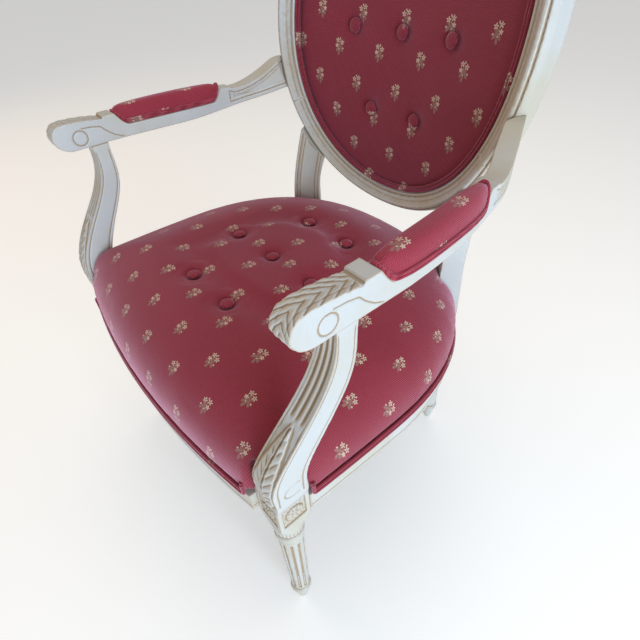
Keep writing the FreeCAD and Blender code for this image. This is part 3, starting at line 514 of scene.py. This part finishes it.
def plain_weave(name, dark, light, rib):
    """A plain weave with painted shade in its threads' dips and a painted highlight on their crests."""
    made, tree, shader = material(name)
    place = vectors(tree, "MULTIPLY", node(tree, "ShaderNodeTexCoord").outputs["Object"], (1000, 1000, 1000))
    weave = node(tree, "ShaderNodeGroup", node_tree=threads)
    put(tree, weave.inputs["Place"], place)
    weave.inputs["Rib"].default_value = rib
    weave.inputs["Warp"].default_value = rib
    # Painted shade and highlight: the dark colour fills the threads' dips and the light one their crests.
    put(tree, shader.inputs["Base Color"], mixed(tree, weave.outputs["Shade"], dark, light))
    shader.inputs["Roughness"].default_value = 0.85
    bumped(tree, shader, weave.outputs["Height"], 0.5, 0.0005)
    return made


def plain_steel():
    """Bare steel with fine scratches."""
    made, tree, shader = material("plain_steel")
    place = node(tree, "ShaderNodeTexCoord").outputs["Object"]
    scratches = noise(tree, place, 700, 3.0)
    tone = mixed(tree, scratches, (0.42, 0.42, 0.43, 1), (0.62, 0.62, 0.62, 1))
    put(tree, shader.inputs["Base Color"], tone)
    put(tree, shader.inputs["Roughness"], ranged(tree, scratches, 0.3, 0.7, 0.28, 0.5))
    shader.inputs["Metallic"].default_value = 1.0
    return made


wood = painted_wood()
beech = bare_beech()
# One cloth in three copies: the back's lower tone is painted shade and the pads' higher tone painted light.
seat_cloth = repp_cloth("seat_repp", origin=(1, 7.4), step=(82, 95.4), tone=0.94)
back_cloth = repp_cloth("back_repp", origin=(2, 9), step=(83, 97), tone=0.82)
pad_cloth = repp_cloth("pad_repp", origin=(2, 2), step=(83, 97), tone=1.1)
jute = plain_weave("jute_weave", (0.30, 0.21, 0.11, 1), (0.58, 0.46, 0.29, 1), 2.4)
linen = plain_weave("dust_linen", (0.008, 0.008, 0.009, 1), (0.03, 0.03, 0.032, 1), 1.0)
steel = plain_steel()


def finished(piece, finish, slot_name, *stands_for):
    """Gives a piece its finish and its body, and hides the nodes that it stands for. Its slot name is not
    used.
    """
    piece.data.materials.clear()
    piece.data.materials.append(finish)
    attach(piece, "root")
    if stands_for:
        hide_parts(*stands_for)
    return piece


# Carving of the frame, as reliefs in millimetres by place and by the way the surface faces

def console_edges(z):
    """A console's front, rear, inner and outer faces at a height, as it bows out between block and arm."""
    height = 249
    share = np.clip((z - RAIL_TOP) / height, 0, 1)
    bow = 5 * np.sin(np.pi * share) ** 2
    front = blend(-263.5, -177, soft_step(share, 0.19, 0.88)) - bow
    rear = blend(-216.5, -149.5, soft_step(share, 0.17, 0.82)) - bow
    outer = blend(290.5, 304, share) + bow
    inner = blend(243.5, 277, share ** 0.8) + bow
    return front, rear, inner, outer


def console_leaf(side, z):
    """An acanthus leaf up a console's front: lobed edges, slanting veins and a rib, on sunk ground."""
    foot, length, lobe_count, vein_count = 388, 134, 5.5, 8.5
    share = np.clip((z - foot) / length, 0, 1)
    lobes = 0.055 * np.abs(np.sin(share * np.pi * lobe_count)) * (1 - share)
    reach = 0.40 * np.sin(np.pi * np.clip(share * 0.80 + 0.2, 0, 1)) ** 0.7 + lobes
    inside = soft_step(reach - side, -0.02, 0.05) * (z > foot - 2) * (z < foot + length + 4)
    veins = np.abs(np.sin(np.pi * (share * vein_count - side * 4.2)))
    leaf = 1.5 + 1.3 * veins ** 0.7 - 0.8 * side / 0.45
    rib = groove(side, 0.045, 1.8) + 1.2 * (1 - soft_step(np.abs(side - 0.06), 0.0, 0.03))
    ground = 0.9 * band(z, (388, 396), (512, 522)) * (side < 0.44)
    return inside * (leaf + rib) - (1 - inside) * ground


def console_relief(place, face):
    """Three flutes under the hand, an acanthus leaf below them, and lines cut in the sides."""
    x, y, z = place.T
    front, rear, inner, outer = console_edges(z)
    across = (x - inner) / (outer - inner)
    along = (y - front) / (rear - front)
    ahead = soft_step(-face[:, 1], 0.3, 0.7) * (np.abs(y - front) < 12)
    flank = soft_step(np.abs(face[:, 0]), 0.6, 0.85)
    flutes = sum(groove(across - middle, 0.09, 2.6) for middle in (0.25, 0.5, 0.75))
    edges = sum(groove(across - edge, 0.035, 0.7) for edge in (0.1, 0.9))
    carving = flutes * band(z, (520, 532), (622, 632)) + edges * soft_step(z, 505, 520)
    carving += console_leaf(np.abs(across - 0.5), z)
    lines = sum(groove(along - edge, 0.035, 1.0) for edge in (0.13, 0.87)) * band(z, (392, 400), (618, 628))
    scroll = groove(np.hypot(y + 236, z - 415) - 14, 1.4, 0.8) * (y < -228)
    return ahead * carving + flank * (lines + scroll)


def distance_to_path(y, z, path):
    """How far each place lies from a path of straight stretches in the side view."""
    nearest = np.full(len(y), 1e9)
    for (y0, z0), (y1, z1) in zip(path, path[1:]):
        dy, dz = y1 - y0, z1 - z0
        share = np.clip(((y - y0) * dy + (z - z0) * dz) / (dy * dy + dz * dz), 0, 1)
        nearest = np.minimum(nearest, np.hypot(y - y0 - share * dy, z - z0 - share * dz))
    return nearest


def arm_depths(y, z):
    """How far each place lies under the arm's top and over its underside, by slices along the arm."""
    start, thick, count = -240, 3, 160
    slices = np.clip(((y - start) / thick).astype(int), 0, count - 1)
    top, low = np.full(count, -1e9), np.full(count, 1e9)
    np.maximum.at(top, slices, z)
    np.minimum.at(low, slices, z)
    filled = np.nonzero(top > 0)[0]
    middles = start + (filled + 0.5) * thick
    return np.interp(y, middles, top[filled]) - z, z - np.interp(y, middles, low[filled])


def hand_leaves(place, face):
    """Acanthus blades that curl over the hand, to both sides of a rib."""
    x, y, z = place.T
    inner, wide, rear_end, top = 279.5, 27, -146, 672
    side = np.abs((x - inner) / wide - 0.5)
    over = np.maximum(face[:, 2], -face[:, 1])
    hand = soft_step(over, 0.35, 0.7) * soft_step(rear_end - y, 1, 5) * soft_step(z, 636, 641)
    run = rear_end - y + np.maximum(0, top - z) * 0.9
    blades = np.abs(np.sin(np.pi * (run / 13.5 - side * 3.4 + 0.25 * np.sin(run / 17))))
    rib = groove(side, 0.07, 1.3) + ridge(side, 0.045, 1.3)
    return hand * (1.9 * blades ** 0.6 - 1.5 + rib + groove(side - 0.27, 0.03, 0.9))


def arm_relief(place, face):
    """Leaves over the hand, its circle with a line that leads from it, and a sunk panel farther back."""
    y, z = place[:, 1], place[:, 2]
    flank = soft_step(np.abs(face[:, 0]), 0.75, 0.95)
    cut = groove(np.hypot(y + 187, z - 648) - 11, 1.5, 1.0)
    path = [(-181, 661), (-166, 660), (-152, 657), (-145, 649), (-134, 640), (-121, 634)]
    cut += groove(distance_to_path(y, z, path), 1.3, 0.9)
    above, below = arm_depths(y, z)
    rear = band(y, (76, 80), (178, 184))
    cut += rear * (groove(above - 7.5, 1.3, 1.1) + groove(below - 7.5, 1.3, 1.1))
    cut -= rear * 0.9 * soft_step(above, 9, 13) * soft_step(below, 9, 13)
    cut += groove(y - 78, 1.2, 0.9) * (above > 7) * (below > 7)
    return hand_leaves(place, face) + flank * cut


def rosette(across, up):
    """A flower of eight petals about a panel's middle, with leaves in the panel's corners."""
    radius, angle = np.hypot(across, up), np.arctan2(up, across)
    petals = np.abs(np.cos(4 * angle + 0.4 * radius / 12))
    flower = soft_step(12.5 - radius, 0, 1.5) * (1.6 * petals ** 0.6 - 1.3)
    flower += ridge(radius, 3.4, 1.6) + groove(radius - 4.2, 1.0, 0.8)
    corners = soft_step(radius, 13.5, 15) * (np.abs(across) < 16.5) * (np.abs(up) < 17.5)
    return flower + corners * 1.5 * np.abs(np.sin(angle * 10)) ** 0.7


def block_relief(place, face):
    """Rosettes in the block's sunk panels, stop reeds in the foot of each flute, and a ribbed collar."""
    x, y, z = place.T
    panel_front, panel_side, panel_middle = -255, 282, 358.5
    relief = np.zeros(len(x))
    for across, ahead in ((x - BLOCK_X, -face[:, 1] * (y < panel_front)),
                          (y - BLOCK_Y, face[:, 0] * (x > panel_side))):
        panel = soft_step(ahead, 0.6, 0.9) * (z > 337) * (z < 381)
        relief += panel * rosette(across, z - panel_middle)
    radius, angle = np.hypot(x - BLOCK_X, y - BLOCK_Y), np.arctan2(y - BLOCK_Y, x - BLOCK_X)
    reeds = soft_step(np.cos(angle * 10), 0.72, 0.95) * band(z, (76, 80), (128, 131))
    collar = np.abs(np.sin(angle * 12)) * band(z, (284, 287), (300, 303)) * (radius < 24)
    return relief + 1.6 * reeds + 0.9 * collar


def stile_relief(place, face):
    """A cove between two beads up the face of each rear stile."""
    x, y, z = place.T
    waist, upper = 480, 120
    low = soft_step(z, RAIL_TOP, waist)
    high = np.clip((z - waist) / upper, 0, 1) ** 1.3

    def run(foot, middle, top):
        return np.where(z < waist, blend(foot, middle, low), blend(middle, top, high))

    wide, across, back = run(60, 51, 56), run(STILE_X, 181, 163), run(STILE_Y, 179, 204)
    turn = np.radians(run(STILE_TURN, STILE_TURN, 24))
    side = np.abs((x - across) * np.cos(turn) - (y - back) * np.sin(turn)) / (wide / 2)
    outward = face[:, 0] * np.sin(turn) + face[:, 1] * np.cos(turn)
    facing = soft_step(-outward, 0.6, 0.85) * soft_step(z, 386, 400)
    cove = -2.2 * ridge(side, 0.5, 1) ** 0.6
    beads = groove(side - 0.56, 0.05, 1.4) + ridge(side - 0.68, 0.1, 0.8) + groove(side - 0.80, 0.04, 1.2)
    return facing * (cove + beads)


def rail_relief(place, face):
    """A line cut along the lower edge of the rails' outer faces."""
    upright = 1 - soft_step(np.abs(face[:, 2]), 0.3, 0.6)
    return upright * groove(place[:, 2] - 343.5, 1.6, 1.3)


def plan_share(points):
    """How far out a point lies in the rails' plan."""
    y = points[:, 1] * 1000 + MIDDLE
    return oval_share(points[:, 0] * 1000 / PLAN_WIDE, (y - PLAN_MIDDLE) / PLAN_LONG, PLAN_POWER)


def pegs_inside(label, inset):
    """The joints' dowels, pared down where they would come through the rails' curved outer faces."""
    piece = begun_from(label, "frame_dowels")
    rails = np.concatenate([read(nodes[name]) for name in ("rear_rail", "side_rail_left", "side_rail_right")])
    rails = rails[rails[:, 1] > 0]
    rough_half = 300
    limit = np.percentile(plan_share(rails), 90) - inset / rough_half
    points = read(piece)
    centre = np.array([0, (PLAN_MIDDLE - MIDDLE) * 0.001])
    share = plan_share(points)
    over = (share > limit) & (points[:, 1] > 0)
    points[over, :2] = centre + (points[over, :2] - centre) * (limit / share[over])[:, None]
    write(piece, points)
    return piece


def with_pegs(piece):
    """Joins to a rail the dowels that run into it, so that its face closes over them."""
    own = read(piece)
    low, high = own.min(0) - 0.0005, own.max(0) + 0.0005
    pegs = pegs_inside("rail_pegs", 0.1)
    alone(pegs)
    bpy.ops.object.mode_set(mode="EDIT")
    bpy.ops.mesh.select_all(action="SELECT")
    bpy.ops.mesh.separate(type="LOOSE")
    bpy.ops.object.mode_set(mode="OBJECT")
    near = [peg for peg in bpy.context.selected_objects
            if ((read(peg) > low) & (read(peg) < high)).all(1).mean() > 0.3]
    for peg in list(bpy.context.selected_objects):
        if peg not in near:
            bpy.data.objects.remove(peg)
    bpy.ops.object.select_all(action="DESELECT")
    for peg in near:
        peg.select_set(True)
    piece.select_set(True)
    bpy.context.view_layer.objects.active = piece
    bpy.ops.object.join()
    return piece


def member(label, name, cell, rounds, relief=None, pegged=False):
    """One wooden member of the frame: evened by a fine mesh, carved, glazed in its hollows, and on the oval
    given painted shade where it looks inward.
    """
    piece = begun_from(label, name)
    if pegged:
        piece = with_pegs(piece)
    remeshed(piece, cell, rounds)
    if relief:
        carved(piece, relief)
    hollows(piece)
    # The oval's members also get painted shade where they look inward.
    if label.startswith("oval"):
        shaded_inward(piece)
    finished(piece, wood, "painted_wood", name)


for side in SIDES:
    member(f"leg_front_{side}", f"front_leg_{side}", 0.0011, 1, block_relief)
    member(f"console_{side}", f"arm_support_{side}", 0.0011, 1, console_relief)
    member(f"armrest_{side}", f"arm_{side}", 0.0012, 2, arm_relief)
    member(f"leg_rear_{side}", f"rear_leg_{side}", 0.0015, 1, stile_relief)
    member(f"rail_side_{side}", f"side_rail_{side}", 0.0016, 2, rail_relief, pegged=True)
    member(f"oval_side_{side}", f"back_side_{side}", 0.0013, 2)
member("oval_crest", "back_crest", 0.0013, 2)
member("oval_base", "back_base", 0.0013, 2)
member("rail_front", "front_rail", 0.0016, 2, rail_relief)
member("rail_rear", "rear_rail", 0.0018, 2, rail_relief, pegged=True)


# The seat and the back

def button_places(step_across, middle, step_along):
    """Seven buttons in rows of two, three and two."""
    return [((step - (count - 1) / 2) * step_across, middle + row * step_along)
            for row, count in ((-1, 2), (0, 3), (1, 2)) for step in range(count)]


SEAT_BUTTONS = button_places(95.5, -41.5, 115)
BACK_BUTTONS = button_places(95, -7, 113)


def folds_between(across, along, buttons, fold):
    """Folds that run a short way from each button towards its neighbours."""
    furthest, half_wide, reach = 135, 5, 26
    pull = np.zeros(len(across))
    for index, (x0, y0) in enumerate(buttons):
        for x1, y1 in buttons[index + 1:]:
            length = math.hypot(x1 - x0, y1 - y0)
            if length > furthest:
                continue
            share = ((across - x0) * (x1 - x0) + (along - y0) * (y1 - y0)) / length ** 2
            distance = np.hypot(across - x0 - share * (x1 - x0), along - y0 - share * (y1 - y0))
            ends = np.exp(-(np.minimum(np.abs(share), np.abs(1 - share)) * length / reach) ** 2)
            pull -= fold * np.exp(-(distance / half_wide) ** 2) * ends * (share > 0) * (share < 1)
    return pull


def seat_height(x, y):
    """The height of the seat's dome, which falls a little towards the back."""
    distance = oval_share(x / PLAN_WIDE, (y - DOME_MIDDLE) / DOME_LONG, PLAN_POWER)
    share = (1 - distance ** 3.6) ** (1 / 2.6)
    return RAIL_TOP + (DOME_TOP - 0.03 * (y - DOME_MIDDLE) - RAIL_TOP) * share


def curved_terms(a, b):
    """The terms of a curved surface, for a fit."""
    return np.stack([np.ones_like(a), a, b, a * a, a * b, b * b], 1)


def tufted(piece, ways, start, buttons, depth, fold, reach=30):
    """Evens out the solids' hollows on one side of a piece and sinks soft tufts and folds in their place."""
    across_way, along_way, face_way = ways
    local = placed(piece) - start
    across, along, out = local @ across_way, local @ along_way, local @ face_way
    facing = read(piece, "normal") @ face_way > 0.25
    for x, y in buttons:
        distance = np.hypot(across - x, along - y)
        around = facing & (distance > reach) & (distance < reach + 14)
        terms = curved_terms(across[around] - x, along[around] - y)
        fit = np.linalg.lstsq(terms, out[around], rcond=None)[0]
        inside = facing & (distance <= reach + 6)
        even = curved_terms(across[inside] - x, along[inside] - y) @ fit
        share = soft_step(distance[inside], reach - 2, reach + 6)
        out[inside] = blend(even, out[inside], share)
    pull = folds_between(across, along, buttons, fold)
    for x, y in buttons:
        distance = np.hypot(across - x, along - y)
        pull -= depth * (0.55 * np.exp(-(distance / 15) ** 4) + 0.45 * np.exp(-(distance / 25) ** 2))
    out += pull * facing
    places = start + across[:, None] * across_way + along[:, None] * along_way + out[:, None] * face_way
    set_places(piece, places)
    eased(piece, 2)


def seat_cloth_map(piece):
    """The seat's cloth lies flat on top and turns down over the edges."""
    places = placed(piece)
    flat = np.stack([places[:, 0] / PLAN_WIDE, (places[:, 1] - DOME_MIDDLE) / DOME_LONG], 1)
    reach = np.linalg.norm(flat, axis=1)
    way = flat / np.maximum(reach, 1e-6)[:, None]
    edge_height, furthest_drop = 497, 140
    drop = np.clip(edge_height - places[:, 2], 0, furthest_drop) * soft_step(reach, 0.45, 1.0) * 0.5
    cloth_map(piece, places[:, 0] + way[:, 0] * drop, places[:, 1] + way[:, 1] * drop)


def back_cloth_map(piece):
    """The back's cloth follows the oval's lean and its dish."""
    places = placed(piece)
    across = places[:, 0]
    cloth_map(piece, across * (1 + 0.036 * (across / OVAL_WIDE) ** 2), (places - CENTRE) @ UP)


def filled_out(piece):
    """Swells the back's edge out to the cords that run round it."""
    places = placed(piece)
    across, rise = places[:, 0], (places - CENTRE) @ UP
    edge = oval_share(across / OVAL_WIDE, rise / OVAL_HIGH, OVAL_POWER)
    way = across[:, None] * X + rise[:, None] * UP
    way /= np.maximum(np.linalg.norm(way, axis=1), 1e-6)[:, None]
    set_places(piece, places + way * (4.5 * soft_step(edge, 0.86, 0.955))[:, None])


seat = remeshed(begun_from("seat_upholstery", "seat_pad", "seat_cover"), 0.0032, 30)
tufted(seat, (X, Y, Z), np.zeros(3), SEAT_BUTTONS, 10.5, 0.6)
seat_cloth_map(seat)
finished(seat, seat_cloth, "crimson_repp", "seat_pad", "seat_cover")

back = remeshed(begun_from("back_upholstery", "back_pad", "back_cover"), 0.0030, 16)
filled_out(back)
tufted(back, (X, UP, FORWARD), CENTRE, BACK_BUTTONS, 6.0, 0.5, 25)
back_cloth_map(back)
finished(back, back_cloth, "crimson_repp", "back_pad", "back_cover")

panel = begun_from("back_outer_cloth", "outside_back")
alone(panel)
bpy.ops.object.shade_smooth_by_angle(angle=0.6)
back_cloth_map(panel)
finished(panel, back_cloth, "crimson_repp", "outside_back")

for name, finish, slot_name in (("seat_webbing", jute, "jute_webbing"),
                                ("seat_webbing_cross", jute, "jute_webbing"),
                                ("back_webbing", jute, "jute_webbing"),
                                ("dust_cover", linen, "black_linen")):
    piece = begun_from("inner_" + name, name)
    finished(piece, finish, slot_name, name)


# The arm pads

def arm_line(y):
    """How far out the middle of an arm lies."""
    return 293 - 0.0019 * np.maximum(y + 135, 0) ** 1.73


def scoop_floor(y):
    """The arm's scoop under a pad: level in the middle, sweeping up at both ends."""
    front = np.clip((-108 - y) / 18, 0, 1) ** 1.4
    rear = np.clip((y - 46) / 17, 0, 1) ** 1.4
    return SCOOP_LEVEL + SCOOP_RISE * (front + rear)


def pad_half(share):
    """Half of a pad's width at a share of its half length."""
    return PAD_WIDE * np.clip(1 - np.abs(share) ** 4.5, 0, 1) ** 0.5


def arm_pad(label, sign):
    """A crowned pad that fills an arm's scoop, with its cover pleated at both ends."""
    bpy.ops.mesh.primitive_uv_sphere_add(segments=72, ring_count=90, radius=1, location=(0, 0, 0))
    pad = bpy.context.active_object
    pad.name = label
    bpy.ops.object.shade_smooth()
    ball = read(pad)
    # Every vertex stays just short of the pad's ends.
    share = np.sin(np.arcsin(np.clip(ball[:, 2], -1, 1)) * 0.999)
    ring = np.maximum(np.hypot(ball[:, 0], ball[:, 1]), 1e-6)
    over, high = ball[:, 0] / ring, ball[:, 1] / ring
    y = PAD_MIDDLE + PAD_LONG * share
    floor_z = scoop_floor(y)
    crown = PAD_TOP - 1.425 * (share ** 2 + np.abs(share) ** 8) - floor_z
    ends = np.clip(1 - np.abs(share) ** 24, 0, 1) ** 0.5
    across = pad_half(share) * np.sign(over) * np.abs(over) ** 0.75
    rise = np.where(high > 0, crown * ends * np.abs(high) ** 0.8, 0)
    at_ends = soft_step(np.abs(share), 0.86, 0.95) * (high > 0.1) * (np.abs(share) < 0.995)
    pleats = 0.45 * np.sin(across * 2.4) * at_ends
    set_places(pad, np.stack([sign * (arm_line(y) + PAD_SHIFT + across), y, floor_z + rise + pleats], 1))
    alone(pad)
    bpy.ops.object.mode_set(mode="EDIT")
    bpy.ops.mesh.select_all(action="SELECT")
    bpy.ops.mesh.normals_make_consistent(inside=False)
    bpy.ops.object.mode_set(mode="OBJECT")
    cloth_map(pad, (across + np.sign(across) * np.clip(crown - rise, 0, 30)) * sign, y)
    return pad


for side, sign in SIDES.items():
    pad = arm_pad(f"armpad_{side}", sign)
    finished(pad, pad_cloth, "crimson_repp", f"arm_pad_{side}")


# Cords and buttons

def cord_piece(label, paths, radius, closed=True):
    """Round cords along smooth paths, joined into one mesh."""
    made = []
    for path in paths:
        curve = bpy.data.curves.new(label, "CURVE")
        curve.dimensions = "3D"
        curve.bevel_depth = radius * 0.001
        curve.bevel_resolution = 3
        curve.resolution_u = 2
        curve.use_fill_caps = not closed
        spline = curve.splines.new("NURBS")
        spline.points.add(len(path) - 1)
        for point, place in zip(spline.points, path):
            point.co = (place[0] * 0.001, (place[1] - MIDDLE) * 0.001, place[2] * 0.001, 1)
        spline.use_cyclic_u = closed
        spline.order_u = 3
        spline.use_endpoint_u = not closed
        cord = bpy.data.objects.new(label, curve)
        scene.collection.objects.link(cord)
        made.append(cord)
    bpy.ops.object.select_all(action="DESELECT")
    for cord in made:
        cord.select_set(True)
    bpy.context.view_layer.objects.active = made[0]
    bpy.ops.object.convert(target="MESH")
    if len(made) > 1:
        bpy.ops.object.join()
    piece = bpy.context.active_object
    piece.name = label
    bpy.ops.object.shade_smooth()
    return piece


def seat_edge(grow, z):
    """A level path round the seat, grown by so much: half an oval behind, two sides and a bowed front."""
    steps, side_steps, side_long, side_in, front_y, front_bow = 60, 8, 188, 5, -296, 33.5
    path = []
    for step in range(steps):
        angle = math.pi * step / steps
        x = (PLAN_WIDE + grow) * power(math.cos(angle), 2 / PLAN_POWER)
        y = PLAN_MIDDLE + (PLAN_LONG + grow) * power(math.sin(angle), 2 / PLAN_POWER)
        path.append((x, y, z))
    side = []
    for step in range(side_steps + 1):
        share = step / side_steps
        side.append((PLAN_WIDE - side_in * share ** 2 + grow, PLAN_MIDDLE - side_long * share, z))
    path += [(-x, y, z) for x, y, z in side]
    for step in range(-9, 10):
        share = step / 10
        path.append(((PLAN_WIDE - side_in + grow) * share, front_y + front_bow * share ** 2 - grow, z))
    return path + side[:0:-1]


def dished(x, up):
    """A place on the oval's dished face, the way it faces there and the way across it."""
    slope = 2 * OVAL_DISH * x / OVAL_WIDE ** 2
    place = CENTRE + x * X + up * UP + FORWARD * OVAL_DISH * (x / OVAL_WIDE) ** 2
    face = FORWARD - slope * X
    return place, face / np.linalg.norm(face), X + slope * FORWARD


def ring_path(wide, out, steps=96):
    """A path round the oval, so far outside its edge and so far ahead of its face."""
    path = []
    for step in range(steps):
        angle = 2 * math.pi * step / steps + 1e-4
        x = OVAL_WIDE * power(math.cos(angle), 2 / OVAL_POWER)
        up = OVAL_HIGH * power(math.sin(angle), 2 / OVAL_POWER)
        place, face, across = dished(x, up)
        rise = power(x / OVAL_WIDE, OVAL_POWER - 1) / OVAL_WIDE
        run = power(up / OVAL_HIGH, OVAL_POWER - 1) / OVAL_HIGH
        outward = np.cross(UP * rise - across * run, face)
        outward /= np.linalg.norm(outward)
        if outward @ (x * X + up * UP) < 0:
            outward = -outward
        path.append(tuple(place + outward * wide + face * out))
    return path


def clear_of_legs(place):
    """Whether a place on the seat's edge lies clear of the front blocks and the rear stiles."""
    x, y = abs(place[0]), place[1]
    turn = math.radians(STILE_TURN)
    off = (x - STILE_X) * math.cos(turn) - (y - STILE_Y) * math.sin(turn)
    at_block = x > BLOCK_X - 28 and y < BLOCK_Y + 27
    at_stile = abs(off) < 30 and y > 120
    return not at_block and not at_stile


def beside_legs(path, rise):
    """Splits the seat's edge where the four legs pass it, and turns its ends up behind the front ones."""
    fine, shortest, front_end = 8, 12, -190
    points = []
    for start, end in zip(path, path[1:] + path[:1]):
        for step in range(fine):
            points.append(tuple(blend(a, b, step / fine) for a, b in zip(start, end)))
    first = next(index for index, place in enumerate(points) if not clear_of_legs(place))
    runs = [[]]
    for place in points[first:] + points[:first]:
        if clear_of_legs(place):
            runs[-1].append(place)
        elif runs[-1]:
            runs.append([])
    kept = []
    for run in runs:
        if len(run) < shortest:
            continue
        turned_up = []
        for x, y, z in (run[0], run[-1]):
            shares = (0.25, 0.6, 1.0) if y < front_end else ()
            turned_up.append([(x, y, z + rise * share) for share in shares])
        kept.append(turned_up[0][::-1] + run[::4] + [run[-1]] + turned_up[1])
    return kept


seat_paths = beside_legs(seat_edge(1.6, 373.8), 22) + beside_legs(seat_edge(0.6, 379.2), 20)
welt = cord_piece("seat_cords", seat_paths, 2.75, closed=False)
seat_cloth_map(welt)
finished(welt, seat_cloth, "crimson_repp", "seat_welt")
welt = cord_piece("back_cords", [ring_path(-2.8, 1.4), ring_path(-8.0, 1.2)], 2.7)
back_cloth_map(welt)
finished(welt, back_cloth, "crimson_repp", "back_welt")
welt = cord_piece("back_outer_cord", [ring_path(-1.7, -24.2)], 1.5)
back_cloth_map(welt)
finished(welt, back_cloth, "crimson_repp", "outside_back_welt")


def pad_edge(sign, grow, rise, steps=72):
    """A path round a pad's foot, so far outside it and so high over the scoop."""
    path = []
    for step in range(steps):
        angle = 2 * math.pi * (step + 0.5) / steps
        share = power(math.cos(angle), 0.7)
        y = PAD_MIDDLE + (PAD_LONG + grow) * share
        half = float(pad_half(share)) + grow * abs(math.sin(angle))
        x = float(arm_line(y)) + PAD_SHIFT + math.copysign(half, math.sin(angle))
        floor_z = float(scoop_floor(y))
        climb = (floor_z - SCOOP_LEVEL) / SCOOP_RISE
        path.append((sign * x, y, floor_z + rise * (1 - 0.45 * climb)))
    return path


for side, sign in SIDES.items():
    welt = cord_piece(f"armpad_cords_{side}", [pad_edge(sign, 1.0, 2.0), pad_edge(sign, 0.7, 5.7)], 1.9)
    places = placed(welt)
    cloth_map(welt, places[:, 0] - sign * 280, places[:, 1])
    finished(welt, pad_cloth, "crimson_repp", f"arm_pad_welt_{side}")


def covered_buttons(label, places):
    """Domed buttons, each given by its place and the way it faces, joined into one mesh."""
    radius, half_high = 0.0102, 0.0044
    made = []
    for place, face in places:
        bpy.ops.mesh.primitive_uv_sphere_add(segments=28, ring_count=14, radius=1, location=(0, 0, 0))
        knob = bpy.context.active_object
        turn = Vector(face).to_track_quat("Z", "Y").to_matrix().to_4x4()
        spot = Matrix.Translation(Vector((place[0] * 0.001, (place[1] - MIDDLE) * 0.001, place[2] * 0.001)))
        knob.data.transform(spot @ turn @ Matrix.Diagonal((radius, radius, half_high, 1)))
        made.append(knob)
    bpy.ops.object.select_all(action="DESELECT")
    for knob in made:
        knob.select_set(True)
    bpy.context.view_layer.objects.active = made[0]
    bpy.ops.object.join()
    piece = bpy.context.active_object
    piece.name = label
    bpy.ops.object.shade_smooth()
    return piece


def back_button(x, up):
    """A button's place on the back's cushion, and the way it faces."""
    share = math.hypot(x / (OVAL_WIDE - 10), up / (OVAL_HIGH - 10))
    out = 19 * (1 - share ** 2.4) - 3.6
    place, face = dished(x, up)[:2]
    return place + face * out, face


# How far the seat's buttons lie under its dome.
SUNK = 7.4
knobs = covered_buttons("seat_knobs", [((x, y, seat_height(x, y) - SUNK), Z) for x, y in SEAT_BUTTONS])
seat_cloth_map(knobs)
finished(knobs, seat_cloth, "crimson_repp", "seat_buttons")
knobs = covered_buttons("back_knobs", [back_button(x, up) for x, up in BACK_BUTTONS])
back_cloth_map(knobs)
finished(knobs, back_cloth, "crimson_repp", "back_buttons")

# Dowels, glides and corner blocks

finished(pegs_inside("joint_dowels", 0.9), beech, "bare_beech", "frame_dowels")
for name, finish in (("foot_glides", steel), ("corner_blocks", beech)):
    nodes[name].data.materials.clear()
    nodes[name].data.materials.append(finish)

# Floor, light and camera

bpy.ops.mesh.primitive_plane_add(size=60, location=(0, 0, 0))
floor = bpy.context.active_object
floor.name = "studio_floor"
floor_finish, tree, shader = material("studio_floor")
shader.inputs["Base Color"].default_value = (0.93, 0.93, 0.93, 1)
shader.inputs["Roughness"].default_value = 0.9
shader.inputs["Emission Color"].default_value = (1, 1, 1, 1)
shader.inputs["Emission Strength"].default_value = 0.22
floor.data.materials.append(floor_finish)

world = bpy.data.worlds.new("studio")
scene.world = world
world.use_nodes = True
world.node_tree.nodes["Background"].inputs["Color"].default_value = (1.0, 0.99, 0.97, 1)
world.node_tree.nodes["Background"].inputs["Strength"].default_value = 0.42


def area_light(label, place, target, size, watts, colour):
    light = bpy.data.lights.new(label, "AREA")
    light.shape = "SQUARE"
    light.size = size
    light.energy = watts
    light.color = colour
    holder = bpy.data.objects.new(label, light)
    scene.collection.objects.link(holder)
    turn = (Vector(target) - Vector(place)).to_track_quat("-Z", "Y").to_matrix().to_4x4()
    holder.matrix_world = Matrix.Translation(Vector(place)) @ turn


area_light("window", (2.6, -0.7, 0.9), (0, 0, 0.45), 1.6, 68, (0.70, 0.86, 1.0))
area_light("ceiling", (-0.3, 0.4, 2.8), (0, 0, 0.4), 2.2, 18, (1.0, 0.90, 0.74))
area_light("lamp", (-2.6, -1.0, 1.9), (0, 0.1, 0.6), 1.8, 12, (1.0, 0.64, 0.32))

# The camera looks at a place in the drawing from this far, turned round, raised and rolled by these degrees.
AIM = Vector((90.24176, -24.68679, 405.84082))
DISTANCE = 727.86585
ROUND = math.radians(51.64372)
RAISED = math.radians(42.54669)
ROLLED = math.radians(-3.47584)
FOCAL_PIXELS = 449.17769
PHOTO_PIXELS = 640
SENSOR = 36

level = math.cos(RAISED)
backward = Vector((math.sin(ROUND) * level, -math.cos(ROUND) * level, math.sin(RAISED)))
right = Vector((math.cos(ROUND), math.sin(ROUND), 0))
upward = backward.cross(right)
rolled_right = right * math.cos(ROLLED) + upward * math.sin(ROLLED)
rolled_up = upward * math.cos(ROLLED) - right * math.sin(ROLLED)
eye = AIM - Vector((0, MIDDLE, 0)) + backward * DISTANCE
lens = bpy.data.cameras.new("camera")
lens.sensor_width = SENSOR
lens.lens = FOCAL_PIXELS / PHOTO_PIXELS * SENSOR
lens.clip_start, lens.clip_end = 0.01, 100
camera = bpy.data.objects.new("camera", lens)
scene.collection.objects.link(camera)
turn = Matrix((rolled_right, rolled_up, backward)).transposed().to_4x4()
camera.matrix_world = Matrix.Translation(eye * 0.001) @ turn
scene.camera = camera
scene.view_settings.view_transform = "Standard"
